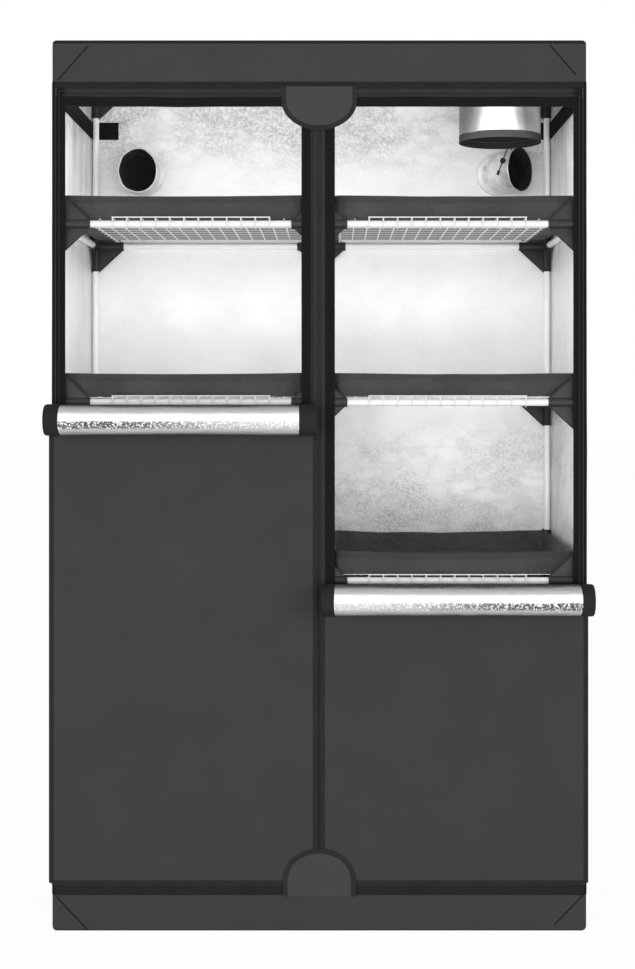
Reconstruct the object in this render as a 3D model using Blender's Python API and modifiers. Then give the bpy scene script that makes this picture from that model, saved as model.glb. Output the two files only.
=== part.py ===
"""Indoor grow tent with two roll-down doors and four levels of wire shelves.

Metres, +Z up, front faces -Y. The origin is under the middle of the whole object, rolls included.
"""

import math

import bmesh
import bpy
from mathutils import Matrix, Vector

# Overall size of the fabric body
tent_width = 1.200
tent_depth = 0.600
tent_height = 2.000
fabric = 0.0016
clearance = 0.0003
corner_radius = 0.011
corner_segments = 3
overrun = 0.010

# Frame of tubes and plastic connectors
pole_radius = 0.008
pole_wall = 0.0008
pole_sides = 8
sleeve_radius = 0.0105
side_sleeve_radius = 0.0100
depth_sleeve_radius = 0.0096
sleeve_reach = 0.065
rail_engagement = 0.030
socket_floor = 0.0013
upright_start = -0.0025
side_sleeve_start = -0.0020
depth_sleeve_start = -0.0035
rail_bore_start = 0.0075
gusset_leg = 0.055
gusset_thickness = 0.003
shelf_count = 4
first_shelf_share = 0.1925
shelf_spacing_share = 0.2005

# Wire grids
wire = 0.003
depth_wire_count = 16
cross_wire_count = 2
grid_inner_x = 0.0465
grid_outer_margin = 0.0705
grid_overhang = 0.0095

# Fabric trays
tray_inner_x = 0.036
tray_outer_margin = 0.034
tray_depth_margin = 0.070
tray_height = 0.052
tray_setback = 0.013
tray_corner_radius = 0.012
tray_corner_segments = 2

# Fabric bands and door openings
roof_skirt = 0.094
tub_height = 0.087
opening_inner_x = 0.0375
opening_outer_margin = 0.0305
opening_bottom = 0.121
opening_top_margin = 0.150

# Doors
panel_inner_x = 0.004
panel_bottom = 0.108
roll_radius = 0.038
roll_pitch = 0.0055
roll_sheet = 0.0042
roll_turns = 4
roll_points_per_turn = 20
roll_inner_x = 0.0035
roll_overhang = 0.0085
left_roll_share = 0.5735
right_roll_share = 0.374

# Zips and their sliders
zip_tape = 0.0010
zip_width = 0.010
zip_inner_x = 0.0085
zip_outer_margin = 0.017
zip_top_margin = 0.110
slider_width = 0.010
slider_thickness = 0.005
slider_length = 0.013
slider_drop = 0.021
slider_edge = 0.001

# Half-round flaps
upper_flap_half_width = 0.0847
upper_flap_margin = 0.105
upper_flap_height = 0.098
lower_flap_half_width = 0.0815
lower_flap_bottom = 0.081
lower_flap_height = 0.107
flap_straight_share = 0.33
flap_arc_points = 14

# Duct sleeves
rear_sleeve_radius = 0.056
rear_sleeve_share = 0.8885
rear_sleeve_length = 0.118
rear_sleeve_sides = 16
left_sleeve_margin = 0.134
right_sleeve_margin = 0.138
right_sleeve_turn = math.radians(48)
right_sleeve_rings = 5
roof_sleeve_radius = 0.099
roof_sleeve_margin = 0.164
roof_sleeve_hang = 0.187
roof_sleeve_sides = 24
roof_hem = 0.017

# Bands at the top of the side walls
band_margin = 0.092
band_height = 0.045
band_thickness = 0.0010
band_turn = 0.063

# Drawcord of the right rear sleeve, from the sleeve's seam, with its lock and end piece
cord_radius = 0.0016
cord_point_spacing = 0.007
cord_points = [
    (0.0216, -0.1234, 0.0460),
    (0.0200, -0.1251, 0.0495),
    (0.0135, -0.1334, 0.0505),
    (0.0070, -0.1466, 0.0420),
    (0.0008, -0.1496, 0.0266),
    (-0.0059, -0.1496, 0.0088),
    (-0.0125, -0.1496, -0.0090),
]
lock_radius = 0.0070
lock_depth = 0.012
lock_sides = 16
lock_from_end = 0.026
lock_bore_clearance = 0.0006
lock_bore_inset = 0.0015
plunger_radius = 0.0042
plunger_length = 0.0050
plunger_shown = 0.0028
plunger_pocket = 0.0060
cord_end_radius = 0.0036
cord_end_length = 0.011

# Places that follow from the sizes above
roll_front = roll_radius - roll_pitch / 2
panel_gap = zip_tape + 2 * clearance
door_reach = panel_gap + fabric + clearance + roll_radius + roll_front
front_y = (door_reach - tent_depth) / 2
back_y = front_y + tent_depth
post_inset = fabric + clearance + sleeve_radius
post_x = tent_width / 2 - post_inset
post_front_y = front_y + post_inset
post_back_y = back_y - post_inset
floor_level = post_inset
top_level = tent_height - post_inset
shelf_shares = [first_shelf_share + shelf_spacing_share * n for n in range(shelf_count)]
shelf_levels = [tent_height * share for share in shelf_shares]
grid_rise = sleeve_radius + clearance
grid_width = tent_width / 2 - grid_inner_x - grid_outer_margin
depth_wire_spacing = (grid_width - wire) / (depth_wire_count - 1)
tray_rise = grid_rise + wire + clearance
tray_width = tent_width / 2 - tray_inner_x - tray_outer_margin
tray_depth = tent_depth - tray_depth_margin
opening_outer_x = tent_width / 2 - opening_outer_margin
opening_top = tent_height - opening_top_margin
panel_back_y = front_y - panel_gap
panel_front_y = panel_back_y - fabric
panel_outer_x = tent_width / 2
roll_y = panel_front_y - clearance - roll_radius
roll_outer_x = tent_width / 2 + roll_overhang
left_roll_height = tent_height * left_roll_share
right_roll_height = tent_height * right_roll_share
zip_outer_x = tent_width / 2 - zip_outer_margin
zip_top = tent_height - zip_top_margin
upper_flap_top = tent_height - upper_flap_margin
rear_sleeve_height = tent_height * rear_sleeve_share
left_sleeve_x = left_sleeve_margin - tent_width / 2
right_sleeve_x = tent_width / 2 - right_sleeve_margin
roof_sleeve_x = tent_width / 2 - roof_sleeve_margin
roof_sleeve_bottom = tent_height - roof_sleeve_hang
band_bottom = tent_height - band_margin - band_height
sleeve_seam = Vector((right_sleeve_x, back_y, rear_sleeve_height))
cord_route = [sleeve_seam + Vector(point) for point in cord_points]
wall_bottom = tub_height + clearance
wall_top = tent_height - roof_skirt - clearance
seam_lean = fabric * math.sin(math.pi / 4 / corner_segments)
plate_x = tent_width / 2 - corner_radius - seam_lean - clearance


def start_scene():
    for item in list(bpy.data.objects):
        bpy.data.objects.remove(item)
    for name in ("indoor_grow_tent", "cutters"):
        group = bpy.data.collections.new(name)
        bpy.context.scene.collection.children.link(group)


def material(name, colour, roughness, metallic=0.0):
    found = bpy.data.materials.get(name)
    if found:
        return found
    made = bpy.data.materials.new(name)
    made.use_nodes = True
    shader = made.node_tree.nodes["Principled BSDF"]
    shader.inputs["Base Color"].default_value = (*colour, 1.0)
    shader.inputs["Roughness"].default_value = roughness
    shader.inputs["Metallic"].default_value = metallic
    return made


def oxford_cloth():
    return material("oxford_cloth", (0.055, 0.055, 0.058), 0.8)


def black_webbing():
    return material("black_webbing", (0.012, 0.012, 0.013), 0.75)


def silver_foil():
    return material("silver_foil", (0.80, 0.80, 0.82), 0.35, 0.6)


def white_tube():
    return material("white_tube", (0.85, 0.85, 0.85), 0.3)


def black_plastic():
    return material("black_plastic", (0.02, 0.02, 0.022), 0.45)


def tray_cloth():
    return material("tray_cloth", (0.045, 0.048, 0.06), 0.8)


def add_object(name, data, finish, group="indoor_grow_tent"):
    made = bpy.data.objects.new(name, data)
    if finish and not data.materials:
        data.materials.append(finish)
    bpy.data.collections[group].objects.link(made)
    return made


def box_mesh(name, low, high):
    mesh = bpy.data.meshes.new(name)
    shape = bmesh.new()
    low = Vector(low)
    high = Vector(high)
    place = Matrix.Translation((low + high) / 2) @ Matrix.Diagonal((*(high - low), 1))
    bmesh.ops.create_cube(shape, size=1, matrix=place)
    shape.to_mesh(mesh)
    shape.free()
    return mesh


def rod_mesh(name, radius, start, end, sides, caps=True):
    """A straight rod or, without caps, an open pipe wall between two points."""
    mesh = bpy.data.meshes.new(name)
    shape = bmesh.new()
    start = Vector(start)
    end = Vector(end)
    turn = Vector((0, 0, 1)).rotation_difference(end - start).to_matrix().to_4x4()
    place = Matrix.Translation((start + end) / 2) @ turn
    bmesh.ops.create_cone(shape, cap_ends=caps, segments=sides, radius1=radius, radius2=radius,
                          depth=(end - start).length, matrix=place)
    shape.to_mesh(mesh)
    shape.free()
    mesh.shade_smooth()
    mesh.set_sharp_from_angle(angle=math.radians(50))
    return mesh


def outline_curve(name, outlines, thickness):
    """A flat piece in the curve's own XY plane, centred on it; later outlines are holes."""
    curve = bpy.data.curves.new(name, "CURVE")
    curve.dimensions = "2D"
    curve.fill_mode = "BOTH"
    curve.extrude = thickness / 2
    for outline in outlines:
        spline = curve.splines.new("POLY")
        spline.points.add(len(outline) - 1)
        for point, (x, y) in zip(spline.points, outline):
            point.co = (x, y, 0, 1)
        spline.use_cyclic_u = True
    return curve


def curve_to_mesh(name, curve, place):
    """The closed mesh of a flat curve, put in its place."""
    holder = add_object(name + "_curve", curve, None, "cutters")
    graph = bpy.context.evaluated_depsgraph_get()
    mesh = bpy.data.meshes.new_from_object(holder.evaluated_get(graph))
    shape = bmesh.new()
    shape.from_mesh(mesh)
    bmesh.ops.remove_doubles(shape, verts=shape.verts, dist=clearance / 10)
    shape.transform(place)
    shape.to_mesh(mesh)
    shape.free()
    bpy.data.objects.remove(holder)
    return mesh


def standing(x, y, z):
    """Puts a flat outline upright: its x stays X, its y becomes Z."""
    return Matrix.Translation((x, y, z)) @ Matrix.Rotation(math.pi / 2, 4, "X")


def solid_wall(target, thickness=fabric):
    wall = target.modifiers.new("wall", "SOLIDIFY")
    wall.thickness = thickness
    wall.offset = -1
    wall.use_even_offset = True


def boolean(target, tools, operation):
    """Joins or cuts the target with meshes, which are kept in the cutters collection."""
    group = bpy.data.collections.new(target.name + "_" + operation.lower())
    bpy.data.collections["cutters"].children.link(group)
    for number, mesh in enumerate(tools):
        tool = bpy.data.objects.new(f"{group.name}_{number}", mesh)
        tool.hide_render = True
        tool.display_type = "WIRE"
        group.objects.link(tool)
    change = target.modifiers.new(operation.lower(), "BOOLEAN")
    change.operation = operation
    change.operand_type = "COLLECTION"
    change.collection = group


def frozen_mesh(target):
    """The mesh that an object's modifiers make; the object itself is removed."""
    graph = bpy.context.evaluated_depsgraph_get()
    mesh = bpy.data.meshes.new_from_object(target.evaluated_get(graph))
    bpy.data.objects.remove(target)
    return mesh


def posts():
    for side, x in (("left", -post_x), ("centre", 0), ("right", post_x)):
        for end, y in (("front", post_front_y), ("back", post_back_y)):
            name = f"post_{end}_{side}"
            low = (x, y, floor_level - socket_floor + clearance)
            high = (x, y, top_level + socket_floor - clearance)
            post = add_object(name, rod_mesh(name, pole_radius, low, high, pole_sides, caps=False),
                              white_tube())
            solid_wall(post, pole_wall)


def gusset_mesh(x, y, side, rise):
    """A triangular web in the corner between an upright sleeve and a rail sleeve."""
    corner = [(0, 0), (side * gusset_leg, 0), (0, rise * gusset_leg)]
    if side * rise < 0:
        corner.reverse()
    curve = outline_curve("gusset", [corner], gusset_thickness)
    return curve_to_mesh("gusset", curve, standing(x, y, 0))


def frame_additions(reaches):
    """Sleeves, rails and gussets of one level, about the level's own height."""
    places = [(-post_x, 1), (0, -1), (0, 1), (post_x, -1)]
    upright_low = min(reaches) * sleeve_reach or upright_start
    parts = []
    for y, inward in ((post_front_y, 1), (post_back_y, -1)):
        for x in (-post_x, 0, post_x):
            low = (x, y, upright_low)
            high = (x, y, max(reaches) * sleeve_reach)
            parts.append(rod_mesh("upright_sleeve", sleeve_radius, low, high, pole_sides))
            outer = (x, y + inward * depth_sleeve_start, 0)
            inner = (x, y + inward * sleeve_reach, 0)
            parts.append(rod_mesh("depth_sleeve", depth_sleeve_radius, outer, inner, pole_sides))
        for x, side in places:
            outer = (x + side * side_sleeve_start, y, 0)
            inner = (x + side * sleeve_reach, y, 0)
            parts.append(rod_mesh("side_sleeve", side_sleeve_radius, outer, inner, pole_sides))
            parts += [gusset_mesh(x, y, side, rise) for rise in reaches if rise]
    return parts


def rail_runs(inset):
    """The start and end of each rail of one level, short of the post axes by an inset."""
    runs = []
    far_x = post_x - inset
    for y in (post_front_y, post_back_y):
        runs += [((-far_x, y, 0), (-inset, y, 0)), ((inset, y, 0), (far_x, y, 0))]
    low_y = post_front_y + inset
    high_y = post_back_y - inset
    runs += [((x, low_y, 0), (x, high_y, 0)) for x in (-post_x, 0, post_x)]
    return runs


def frame_mesh(name, reaches):
    """Rails and connectors of one level as one piece, hollow where tubes pass or plug in."""
    runs = rail_runs(rail_engagement)
    first, others = runs[0], runs[1:]
    frame = add_object(name, rod_mesh(name, pole_radius, *first, pole_sides), white_tube())
    added = [rod_mesh("rail", pole_radius, start, end, pole_sides) for start, end in others]
    added += frame_additions(reaches)
    boolean(frame, added, "UNION")
    socket = pole_radius + clearance / math.cos(math.pi / pole_sides)
    low = min(reaches) * (sleeve_reach + overrun) or -socket_floor
    high = max(reaches) * (sleeve_reach + overrun)
    bores = [rod_mesh("socket", socket, (x, y, low), (x, y, high), pole_sides)
             for y in (post_front_y, post_back_y) for x in (-post_x, 0, post_x)]
    bores += [rod_mesh("rail_bore", pole_radius - pole_wall, start, end, pole_sides)
              for start, end in rail_runs(rail_bore_start)]
    boolean(frame, bores, "DIFFERENCE")
    return frozen_mesh(frame)


def level_frames():
    shelf = frame_mesh("shelf_frame", (1, -1))
    for number, height in enumerate(shelf_levels, 1):
        add_object(f"shelf_frame_{number}", shelf, white_tube()).location.z = height
    base = frame_mesh("base_frame", (1, 0))
    add_object("floor_frame", base, white_tube()).location.z = floor_level
    top = add_object("top_frame", base, white_tube())
    top.rotation_euler.x = math.pi
    top.location = (0, post_front_y + post_back_y, top_level)


def grid_outlines():
    """A lattice of wires: the outer edge and the holes between the wires."""
    low_y = post_front_y - grid_overhang
    high_y = post_back_y + grid_overhang
    outer = [(0, low_y), (grid_width, low_y), (grid_width, high_y), (0, high_y)]
    row_pitch = (high_y - low_y - wire) / (cross_wire_count - 1)
    holes = []
    for column in range(depth_wire_count - 1):
        left = column * depth_wire_spacing + wire
        right = left + depth_wire_spacing - wire
        for row in range(cross_wire_count - 1):
            low = low_y + row * row_pitch + wire
            high = low + row_pitch - wire
            holes.append([(left, low), (right, low), (right, high), (left, high)])
    return [outer, *holes]


def wire_grids():
    lattice = outline_curve("wire_grid", grid_outlines(), wire)
    for number, height in enumerate(shelf_levels, 1):
        for side, x in (("left", -grid_inner_x - grid_width), ("right", grid_inner_x)):
            grid = add_object(f"wire_grid_{side}_{number}", lattice, white_tube())
            grid.location = (x, 0, height + grid_rise + wire / 2)


def tray_mesh():
    """An open-topped box with rounded upright corners, standing on z = 0."""
    mesh = box_mesh("tray", (0, 0, 0), (tray_width, tray_depth, tray_height))
    shape = bmesh.new()
    shape.from_mesh(mesh)
    uprights = [e for e in shape.edges if e.verts[0].co.z != e.verts[1].co.z]
    bmesh.ops.bevel(shape, geom=uprights, offset=tray_corner_radius, offset_type="OFFSET",
                    segments=tray_corner_segments, profile=0.5, affect="EDGES")
    lid = [f for f in shape.faces if f.normal.z > 0.5]
    bmesh.ops.delete(shape, geom=lid, context="FACES_ONLY")
    shape.to_mesh(mesh)
    shape.free()
    return mesh


def trays():
    mesh = tray_mesh()
    for number, height in enumerate(shelf_levels, 1):
        for side, x in (("left", -tray_inner_x - tray_width), ("right", tray_inner_x)):
            tray = add_object(f"tray_{side}_{number}", mesh, tray_cloth())
            tray.location = (x, post_front_y + tray_setback, height + tray_rise)
            solid_wall(tray)


def lid_mesh(name, low, high, open_side):
    """A box shell without its bottom or top, with rounded upright edges and a rounded rim."""
    mesh = box_mesh(name, (-tent_width / 2, front_y, low), (tent_width / 2, back_y, high))
    shape = bmesh.new()
    shape.from_mesh(mesh)
    shape.normal_update()
    doomed = [f for f in shape.faces if f.normal.z * open_side > 0.5]
    bmesh.ops.delete(shape, geom=doomed, context="FACES_ONLY")
    edges = [e for e in shape.edges if not e.is_boundary]
    bmesh.ops.bevel(shape, geom=edges, offset=corner_radius, offset_type="OFFSET",
                    segments=corner_segments, profile=0.5, affect="EDGES")
    shape.to_mesh(mesh)
    shape.free()
    return mesh


def round_hole(radius, start, end, sides):
    """A cutter that stays clear of a sleeve of the given radius by at least the clearance."""
    return rod_mesh("hole", (radius + clearance) / math.cos(math.pi / sides), start, end, sides)


def roof_cap():
    mesh = lid_mesh("roof_cap", tent_height - roof_skirt, tent_height, -1)
    cap = add_object("roof_cap", mesh, oxford_cloth())
    solid_wall(cap)
    centre_y = (front_y + back_y) / 2
    hole = round_hole(roof_sleeve_radius, (roof_sleeve_x, centre_y, top_level),
                      (roof_sleeve_x, centre_y, tent_height + overrun), 2 * roof_sleeve_sides)
    boolean(cap, [hole], "DIFFERENCE")


def floor_tub():
    tub = add_object("floor_tub", lid_mesh("floor_tub", 0, tub_height, 1), oxford_cloth())
    solid_wall(tub)


def side_walls():
    """Each side wall turns round both of its upright corners."""
    for side, sign in (("left", -1), ("right", 1)):
        name = f"{side}_wall"
        mesh = box_mesh(name, (-tent_width / 2, front_y, wall_bottom),
                        (tent_width / 2, back_y, wall_top))
        shape = bmesh.new()
        shape.from_mesh(mesh)
        shape.normal_update()
        flat = [f for f in shape.faces if abs(f.normal.z) > 0.5]
        bmesh.ops.delete(shape, geom=flat, context="FACES_ONLY")
        edges = [e for e in shape.edges if not e.is_boundary]
        bmesh.ops.bevel(shape, geom=edges, offset=corner_radius, offset_type="OFFSET",
                        segments=corner_segments, profile=0.5, affect="EDGES")
        shape.normal_update()
        keep_x = tent_width / 2 - corner_radius
        spare = [f for f in shape.faces if f.calc_center_median().x * sign < keep_x]
        bmesh.ops.delete(shape, geom=spare, context="FACES")
        shape.to_mesh(mesh)
        shape.free()
        solid_wall(add_object(name, mesh, oxford_cloth()))


def back_wall():
    mesh = box_mesh("back_wall", (-plate_x, back_y - fabric, wall_bottom),
                    (plate_x, back_y, wall_top))
    wall = add_object("back_wall", mesh, oxford_cloth())
    holes = []
    for x in (left_sleeve_x, right_sleeve_x):
        start = (x, back_y - overrun, rear_sleeve_height)
        end = (x, back_y + overrun, rear_sleeve_height)
        holes.append(round_hole(rear_sleeve_radius, start, end, 2 * rear_sleeve_sides))
    boolean(wall, holes, "DIFFERENCE")


def rectangle(left, right, low, high):
    return [(left, low), (right, low), (right, high), (left, high)]


def front_surround():
    """The front sheet with both door openings and the column between them."""
    outlines = [
        rectangle(-plate_x, plate_x, wall_bottom, wall_top),
        rectangle(-opening_outer_x, -opening_inner_x, opening_bottom, opening_top),
        rectangle(opening_inner_x, opening_outer_x, opening_bottom, opening_top),
    ]
    curve = outline_curve("front_surround", outlines, fabric)
    mesh = curve_to_mesh("front_surround", curve, standing(0, front_y + fabric / 2, 0))
    add_object("front_surround", mesh, oxford_cloth())


def zips():
    """Each zip runs up one side of its door, across the top and down the other side."""
    for side, sign in (("left", -1), ("right", 1)):
        inner = zip_inner_x - zip_width / 2
        outer = zip_outer_x + zip_width / 2
        low = opening_bottom
        tape = [(inner, low), (inner + zip_width, low),
                (inner + zip_width, zip_top - zip_width), (outer - zip_width, zip_top - zip_width),
                (outer - zip_width, low), (outer, low), (outer, zip_top), (inner, zip_top)]
        tape = [(sign * x, z) for x, z in tape]
        curve = outline_curve(f"{side}_zip", [tape], zip_tape)
        place = standing(0, front_y - clearance - zip_tape / 2, 0)
        add_object(f"{side}_zip", curve_to_mesh(f"{side}_zip", curve, place), black_webbing())


def roll_outline():
    """A wound sheet seen from its end: the outer face inward, then the inner face back out."""
    count = roll_turns * roll_points_per_turn
    steps = [n / roll_points_per_turn for n in range(count + 1)]

    def point(turns, inset):
        radius = roll_radius - roll_pitch * turns - inset
        angle = 2 * math.pi * turns
        return (radius * math.cos(angle), radius * math.sin(angle))

    outer = [point(turns, 0) for turns in steps]
    inner = [point(turns, roll_sheet) for turns in reversed(steps)]
    return outer + inner


def door(side, sign, height):
    """Flat panel below and wound roll above, with a zip slider at each edge under the roll."""
    xs = sorted((sign * panel_inner_x, sign * panel_outer_x))
    panel = box_mesh(f"{side}_door_panel", (xs[0], panel_front_y, panel_bottom),
                     (xs[1], panel_back_y, height))
    add_object(f"{side}_door_panel", panel, oxford_cloth())
    length = roll_outer_x - roll_inner_x
    curve = outline_curve(f"{side}_door_roll", [roll_outline()], length)
    turn = Matrix(((0, 0, 1, 0), (1, 0, 0, 0), (0, 1, 0, 0), (0, 0, 0, 1)))
    mesh = curve_to_mesh(f"{side}_door_roll", curve, turn)
    roll = add_object(f"{side}_door_roll", mesh, silver_foil())
    roll.location = (sign * (roll_inner_x + roll_outer_x) / 2, roll_y, height)
    for place, x in (("inner", zip_inner_x), ("outer", zip_outer_x)):
        zip_slider(f"{side}_zip_slider_{place}", sign * x, height - slider_drop)


def zip_slider(name, x, top):
    half = slider_width / 2
    high_y = panel_front_y - clearance
    mesh = box_mesh(name, (-half, -slider_thickness, -slider_length), (half, 0, 0))
    slider = add_object(name, mesh, black_plastic())
    slider.location = (x, high_y, top)
    edge = slider.modifiers.new("edge", "BEVEL")
    edge.width = slider_edge
    edge.segments = 1


def flap_outline(half_width, height, rise):
    """Straight at the sewn edge and down both sides, then half an ellipse."""
    straight = height * flap_straight_share
    depth = height - straight
    points = [(-half_width, 0), (half_width, 0)]
    for step in range(flap_arc_points + 1):
        angle = math.pi * step / flap_arc_points
        points.append((half_width * math.cos(angle), straight + depth * math.sin(angle)))
    return [(x, rise * z) for x, z in points]


def flaps():
    """Half-round flaps, each hinged on its straight sewn edge."""
    upper_y = panel_back_y - fabric / 2
    lower_y = panel_front_y - clearance - fabric / 2
    rows = (
        ("upper_flap", upper_flap_half_width, upper_flap_height, -1, upper_flap_top, upper_y),
        ("lower_flap", lower_flap_half_width, lower_flap_height, 1, lower_flap_bottom, lower_y),
    )
    for name, half_width, height, rise, edge_z, y in rows:
        curve = outline_curve(name, [flap_outline(half_width, height, rise)], fabric)
        flap = add_object(name, curve_to_mesh(name, curve, standing(0, 0, 0)), oxford_cloth())
        flap.location = (0, y, edge_z)


def straight_sleeve(name, radius, start, end, sides, finish):
    mesh = rod_mesh(name, radius, start, end, sides, caps=False)
    solid_wall(add_object(name, mesh, finish))


def roof_sleeve():
    y = (front_y + back_y) / 2
    seam = roof_sleeve_bottom + roof_hem
    straight_sleeve("roof_sleeve", roof_sleeve_radius, (roof_sleeve_x, y, seam + clearance),
                    (roof_sleeve_x, y, tent_height), roof_sleeve_sides, silver_foil())
    straight_sleeve("roof_sleeve_hem", roof_sleeve_radius, (roof_sleeve_x, y, roof_sleeve_bottom),
                    (roof_sleeve_x, y, seam), roof_sleeve_sides, black_webbing())


def left_rear_sleeve():
    x = left_sleeve_x
    z = rear_sleeve_height
    straight_sleeve("rear_sleeve_left", rear_sleeve_radius, (x, back_y - rear_sleeve_length, z),
                    (x, back_y, z), rear_sleeve_sides, silver_foil())


def right_sleeve_ring(angle):
    """Centre and inward direction of the bent sleeve's section, turned by an angle."""
    bend = rear_sleeve_length / right_sleeve_turn
    centre = Vector((right_sleeve_x + bend * (1 - math.cos(angle)),
                     back_y - bend * math.sin(angle), rear_sleeve_height))
    return centre, Vector((math.sin(angle), -math.cos(angle), 0))


def bent_tube_mesh(name, first_angle, last_angle, rings):
    """An open pipe wall swept along the bend between two angles."""
    mesh = bpy.data.meshes.new(name)
    shape = bmesh.new()
    loops = []
    for ring in range(rings + 1):
        angle = first_angle + (last_angle - first_angle) * ring / rings
        centre, inward = right_sleeve_ring(angle)
        across = Vector((math.cos(angle), math.sin(angle), 0))
        place = Matrix((across, (0, 0, 1), inward)).transposed().to_4x4()
        circle = bmesh.ops.create_circle(shape, segments=rear_sleeve_sides,
                                         radius=rear_sleeve_radius,
                                         matrix=Matrix.Translation(centre) @ place)
        loops.append(circle["verts"])
    for start, end in zip(loops, loops[1:]):
        edges = [e for e in shape.edges if e.verts[0] in start and e.verts[1] in start]
        edges += [e for e in shape.edges if e.verts[0] in end and e.verts[1] in end]
        bmesh.ops.bridge_loops(shape, edges=edges)
    bmesh.ops.recalc_face_normals(shape, faces=shape.faces)
    lowest = min(shape.faces, key=lambda f: f.calc_center_median().z)
    if lowest.normal.z > 0:
        bmesh.ops.reverse_faces(shape, faces=shape.faces)
    shape.to_mesh(mesh)
    shape.free()
    mesh.shade_smooth()
    return mesh


def right_rear_sleeve():
    body = bent_tube_mesh("rear_sleeve_right", 0, right_sleeve_turn, right_sleeve_rings)
    solid_wall(add_object("rear_sleeve_right", body, silver_foil()))


def sleeve_closures():
    """The gathered outer ends of the sleeves, drawn shut in the plane of the fabric."""
    y = (front_y + back_y) / 2
    roof = ((roof_sleeve_x, y, tent_height - fabric), (roof_sleeve_x, y, tent_height))
    rows = [("roof_closure", roof_sleeve_radius, *roof, roof_sleeve_sides)]
    for side, x in (("left", left_sleeve_x), ("right", right_sleeve_x)):
        start = (x, back_y - fabric, rear_sleeve_height)
        end = (x, back_y, rear_sleeve_height)
        rows.append((f"rear_closure_{side}", rear_sleeve_radius, start, end, rear_sleeve_sides))
    for name, radius, start, end, sides in rows:
        inner = radius - (fabric + clearance) / math.cos(math.pi / sides)
        add_object(name, rod_mesh(name, inner, start, end, sides), black_webbing())


def corner_arc(centre_x, centre_y, radius):
    """Points round an inside corner, from the side wall's direction to the back wall's."""
    angles = [math.pi / 2 * step / corner_segments for step in range(corner_segments + 1)]
    return [(centre_x + radius * math.cos(a), centre_y + radius * math.sin(a)) for a in angles]


def side_bands():
    """A band inside the top of each side wall that turns onto the back wall."""
    wall_x = tent_width / 2 - fabric - clearance
    wall_y = back_y - fabric - clearance
    outer_corner = corner_radius - fabric - 2 * clearance
    centre = (wall_x - outer_corner, wall_y - outer_corner)
    front = front_y + corner_radius + clearance
    turn_x = wall_x - band_turn
    outer = [(wall_x, front), *corner_arc(*centre, outer_corner), (turn_x, wall_y)]
    inner = [(turn_x, wall_y - band_thickness),
             *reversed(corner_arc(*centre, outer_corner - band_thickness)),
             (wall_x - band_thickness, front)]
    for side, sign in (("left", -1), ("right", 1)):
        outline = [(sign * x, y) for x, y in outer + inner]
        curve = outline_curve(f"{side}_band", [outline], band_height)
        band = add_object(f"{side}_band", curve, black_webbing())
        band.location.z = band_bottom + band_height / 2


def smooth_route(points, spacing):
    """Evenly dense points on a smooth curve through the given points."""
    points = [Vector(p) for p in points]
    padded = [2 * points[0] - points[1], *points, 2 * points[-1] - points[-2]]
    route = [points[0]]
    for before, start, end, after in zip(padded, padded[1:], padded[2:], padded[3:]):
        count = max(1, round((end - start).length / spacing))
        for step in range(1, count + 1):
            t = step / count
            bend = (end - before) * t + (2 * before - 5 * start + 4 * end - after) * t ** 2
            bend += (3 * start - before - 3 * end + after) * t ** 3
            route.append(start + bend / 2)
    return route


def drawcord():
    route = smooth_route(cord_route, cord_point_spacing)
    curve = bpy.data.curves.new("drawcord", "CURVE")
    curve.dimensions = "3D"
    curve.bevel_depth = cord_radius
    curve.bevel_resolution = 2
    curve.use_fill_caps = True
    spline = curve.splines.new("POLY")
    spline.points.add(len(route) - 1)
    for point, place in zip(spline.points, route):
        point.co = (*place, 1)
    add_object("drawcord", curve, black_webbing())
    down = (cord_route[-1] - cord_route[-2]).normalized()
    cord_end(down)
    cord_lock(down)


def cord_end(down):
    start = cord_route[-1] + down * clearance
    mesh = rod_mesh("cord_end", cord_end_radius, start, start + down * cord_end_length,
                    lock_sides)
    add_object("cord_end", mesh, black_plastic())


def cord_lock(down):
    """A barrel that points forward, crossed by the cord, with a plunger in its front."""
    centre = cord_route[-1] - down * lock_from_end
    forward = Vector((0, -1, 0))
    back = centre - forward * (lock_depth / 2 - lock_bore_inset)
    front = back + forward * lock_depth
    local = Matrix.Translation(-centre)
    body = add_object("cord_lock", rod_mesh("cord_lock", lock_radius, back, front, lock_sides),
                      black_plastic())
    reach = down * (lock_radius + overrun)
    bore = rod_mesh("cord_bore", cord_radius + lock_bore_clearance, centre - reach, centre + reach,
                    lock_sides)
    pocket = rod_mesh("plunger_pocket", plunger_radius + clearance, front - forward * plunger_pocket,
                      front + forward * overrun, lock_sides)
    boolean(body, [bore, pocket], "DIFFERENCE")
    mesh = frozen_mesh(body)
    mesh.transform(local)
    add_object("cord_lock", mesh, black_plastic()).location = centre
    tip = front + forward * plunger_shown
    plunger = rod_mesh("cord_plunger", plunger_radius, tip - forward * plunger_length, tip,
                       lock_sides)
    plunger.transform(local)
    add_object("cord_plunger", plunger, black_plastic()).location = centre


def build():
    start_scene()
    posts()
    level_frames()
    wire_grids()
    trays()
    roof_cap()
    floor_tub()
    side_walls()
    back_wall()
    front_surround()
    zips()
    door("left", -1, left_roll_height)
    door("right", 1, right_roll_height)
    flaps()
    roof_sleeve()
    left_rear_sleeve()
    right_rear_sleeve()
    sleeve_closures()
    side_bands()
    drawcord()


build()
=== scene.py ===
import math

import bpy
from mathutils import Matrix, Vector, noise


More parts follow.
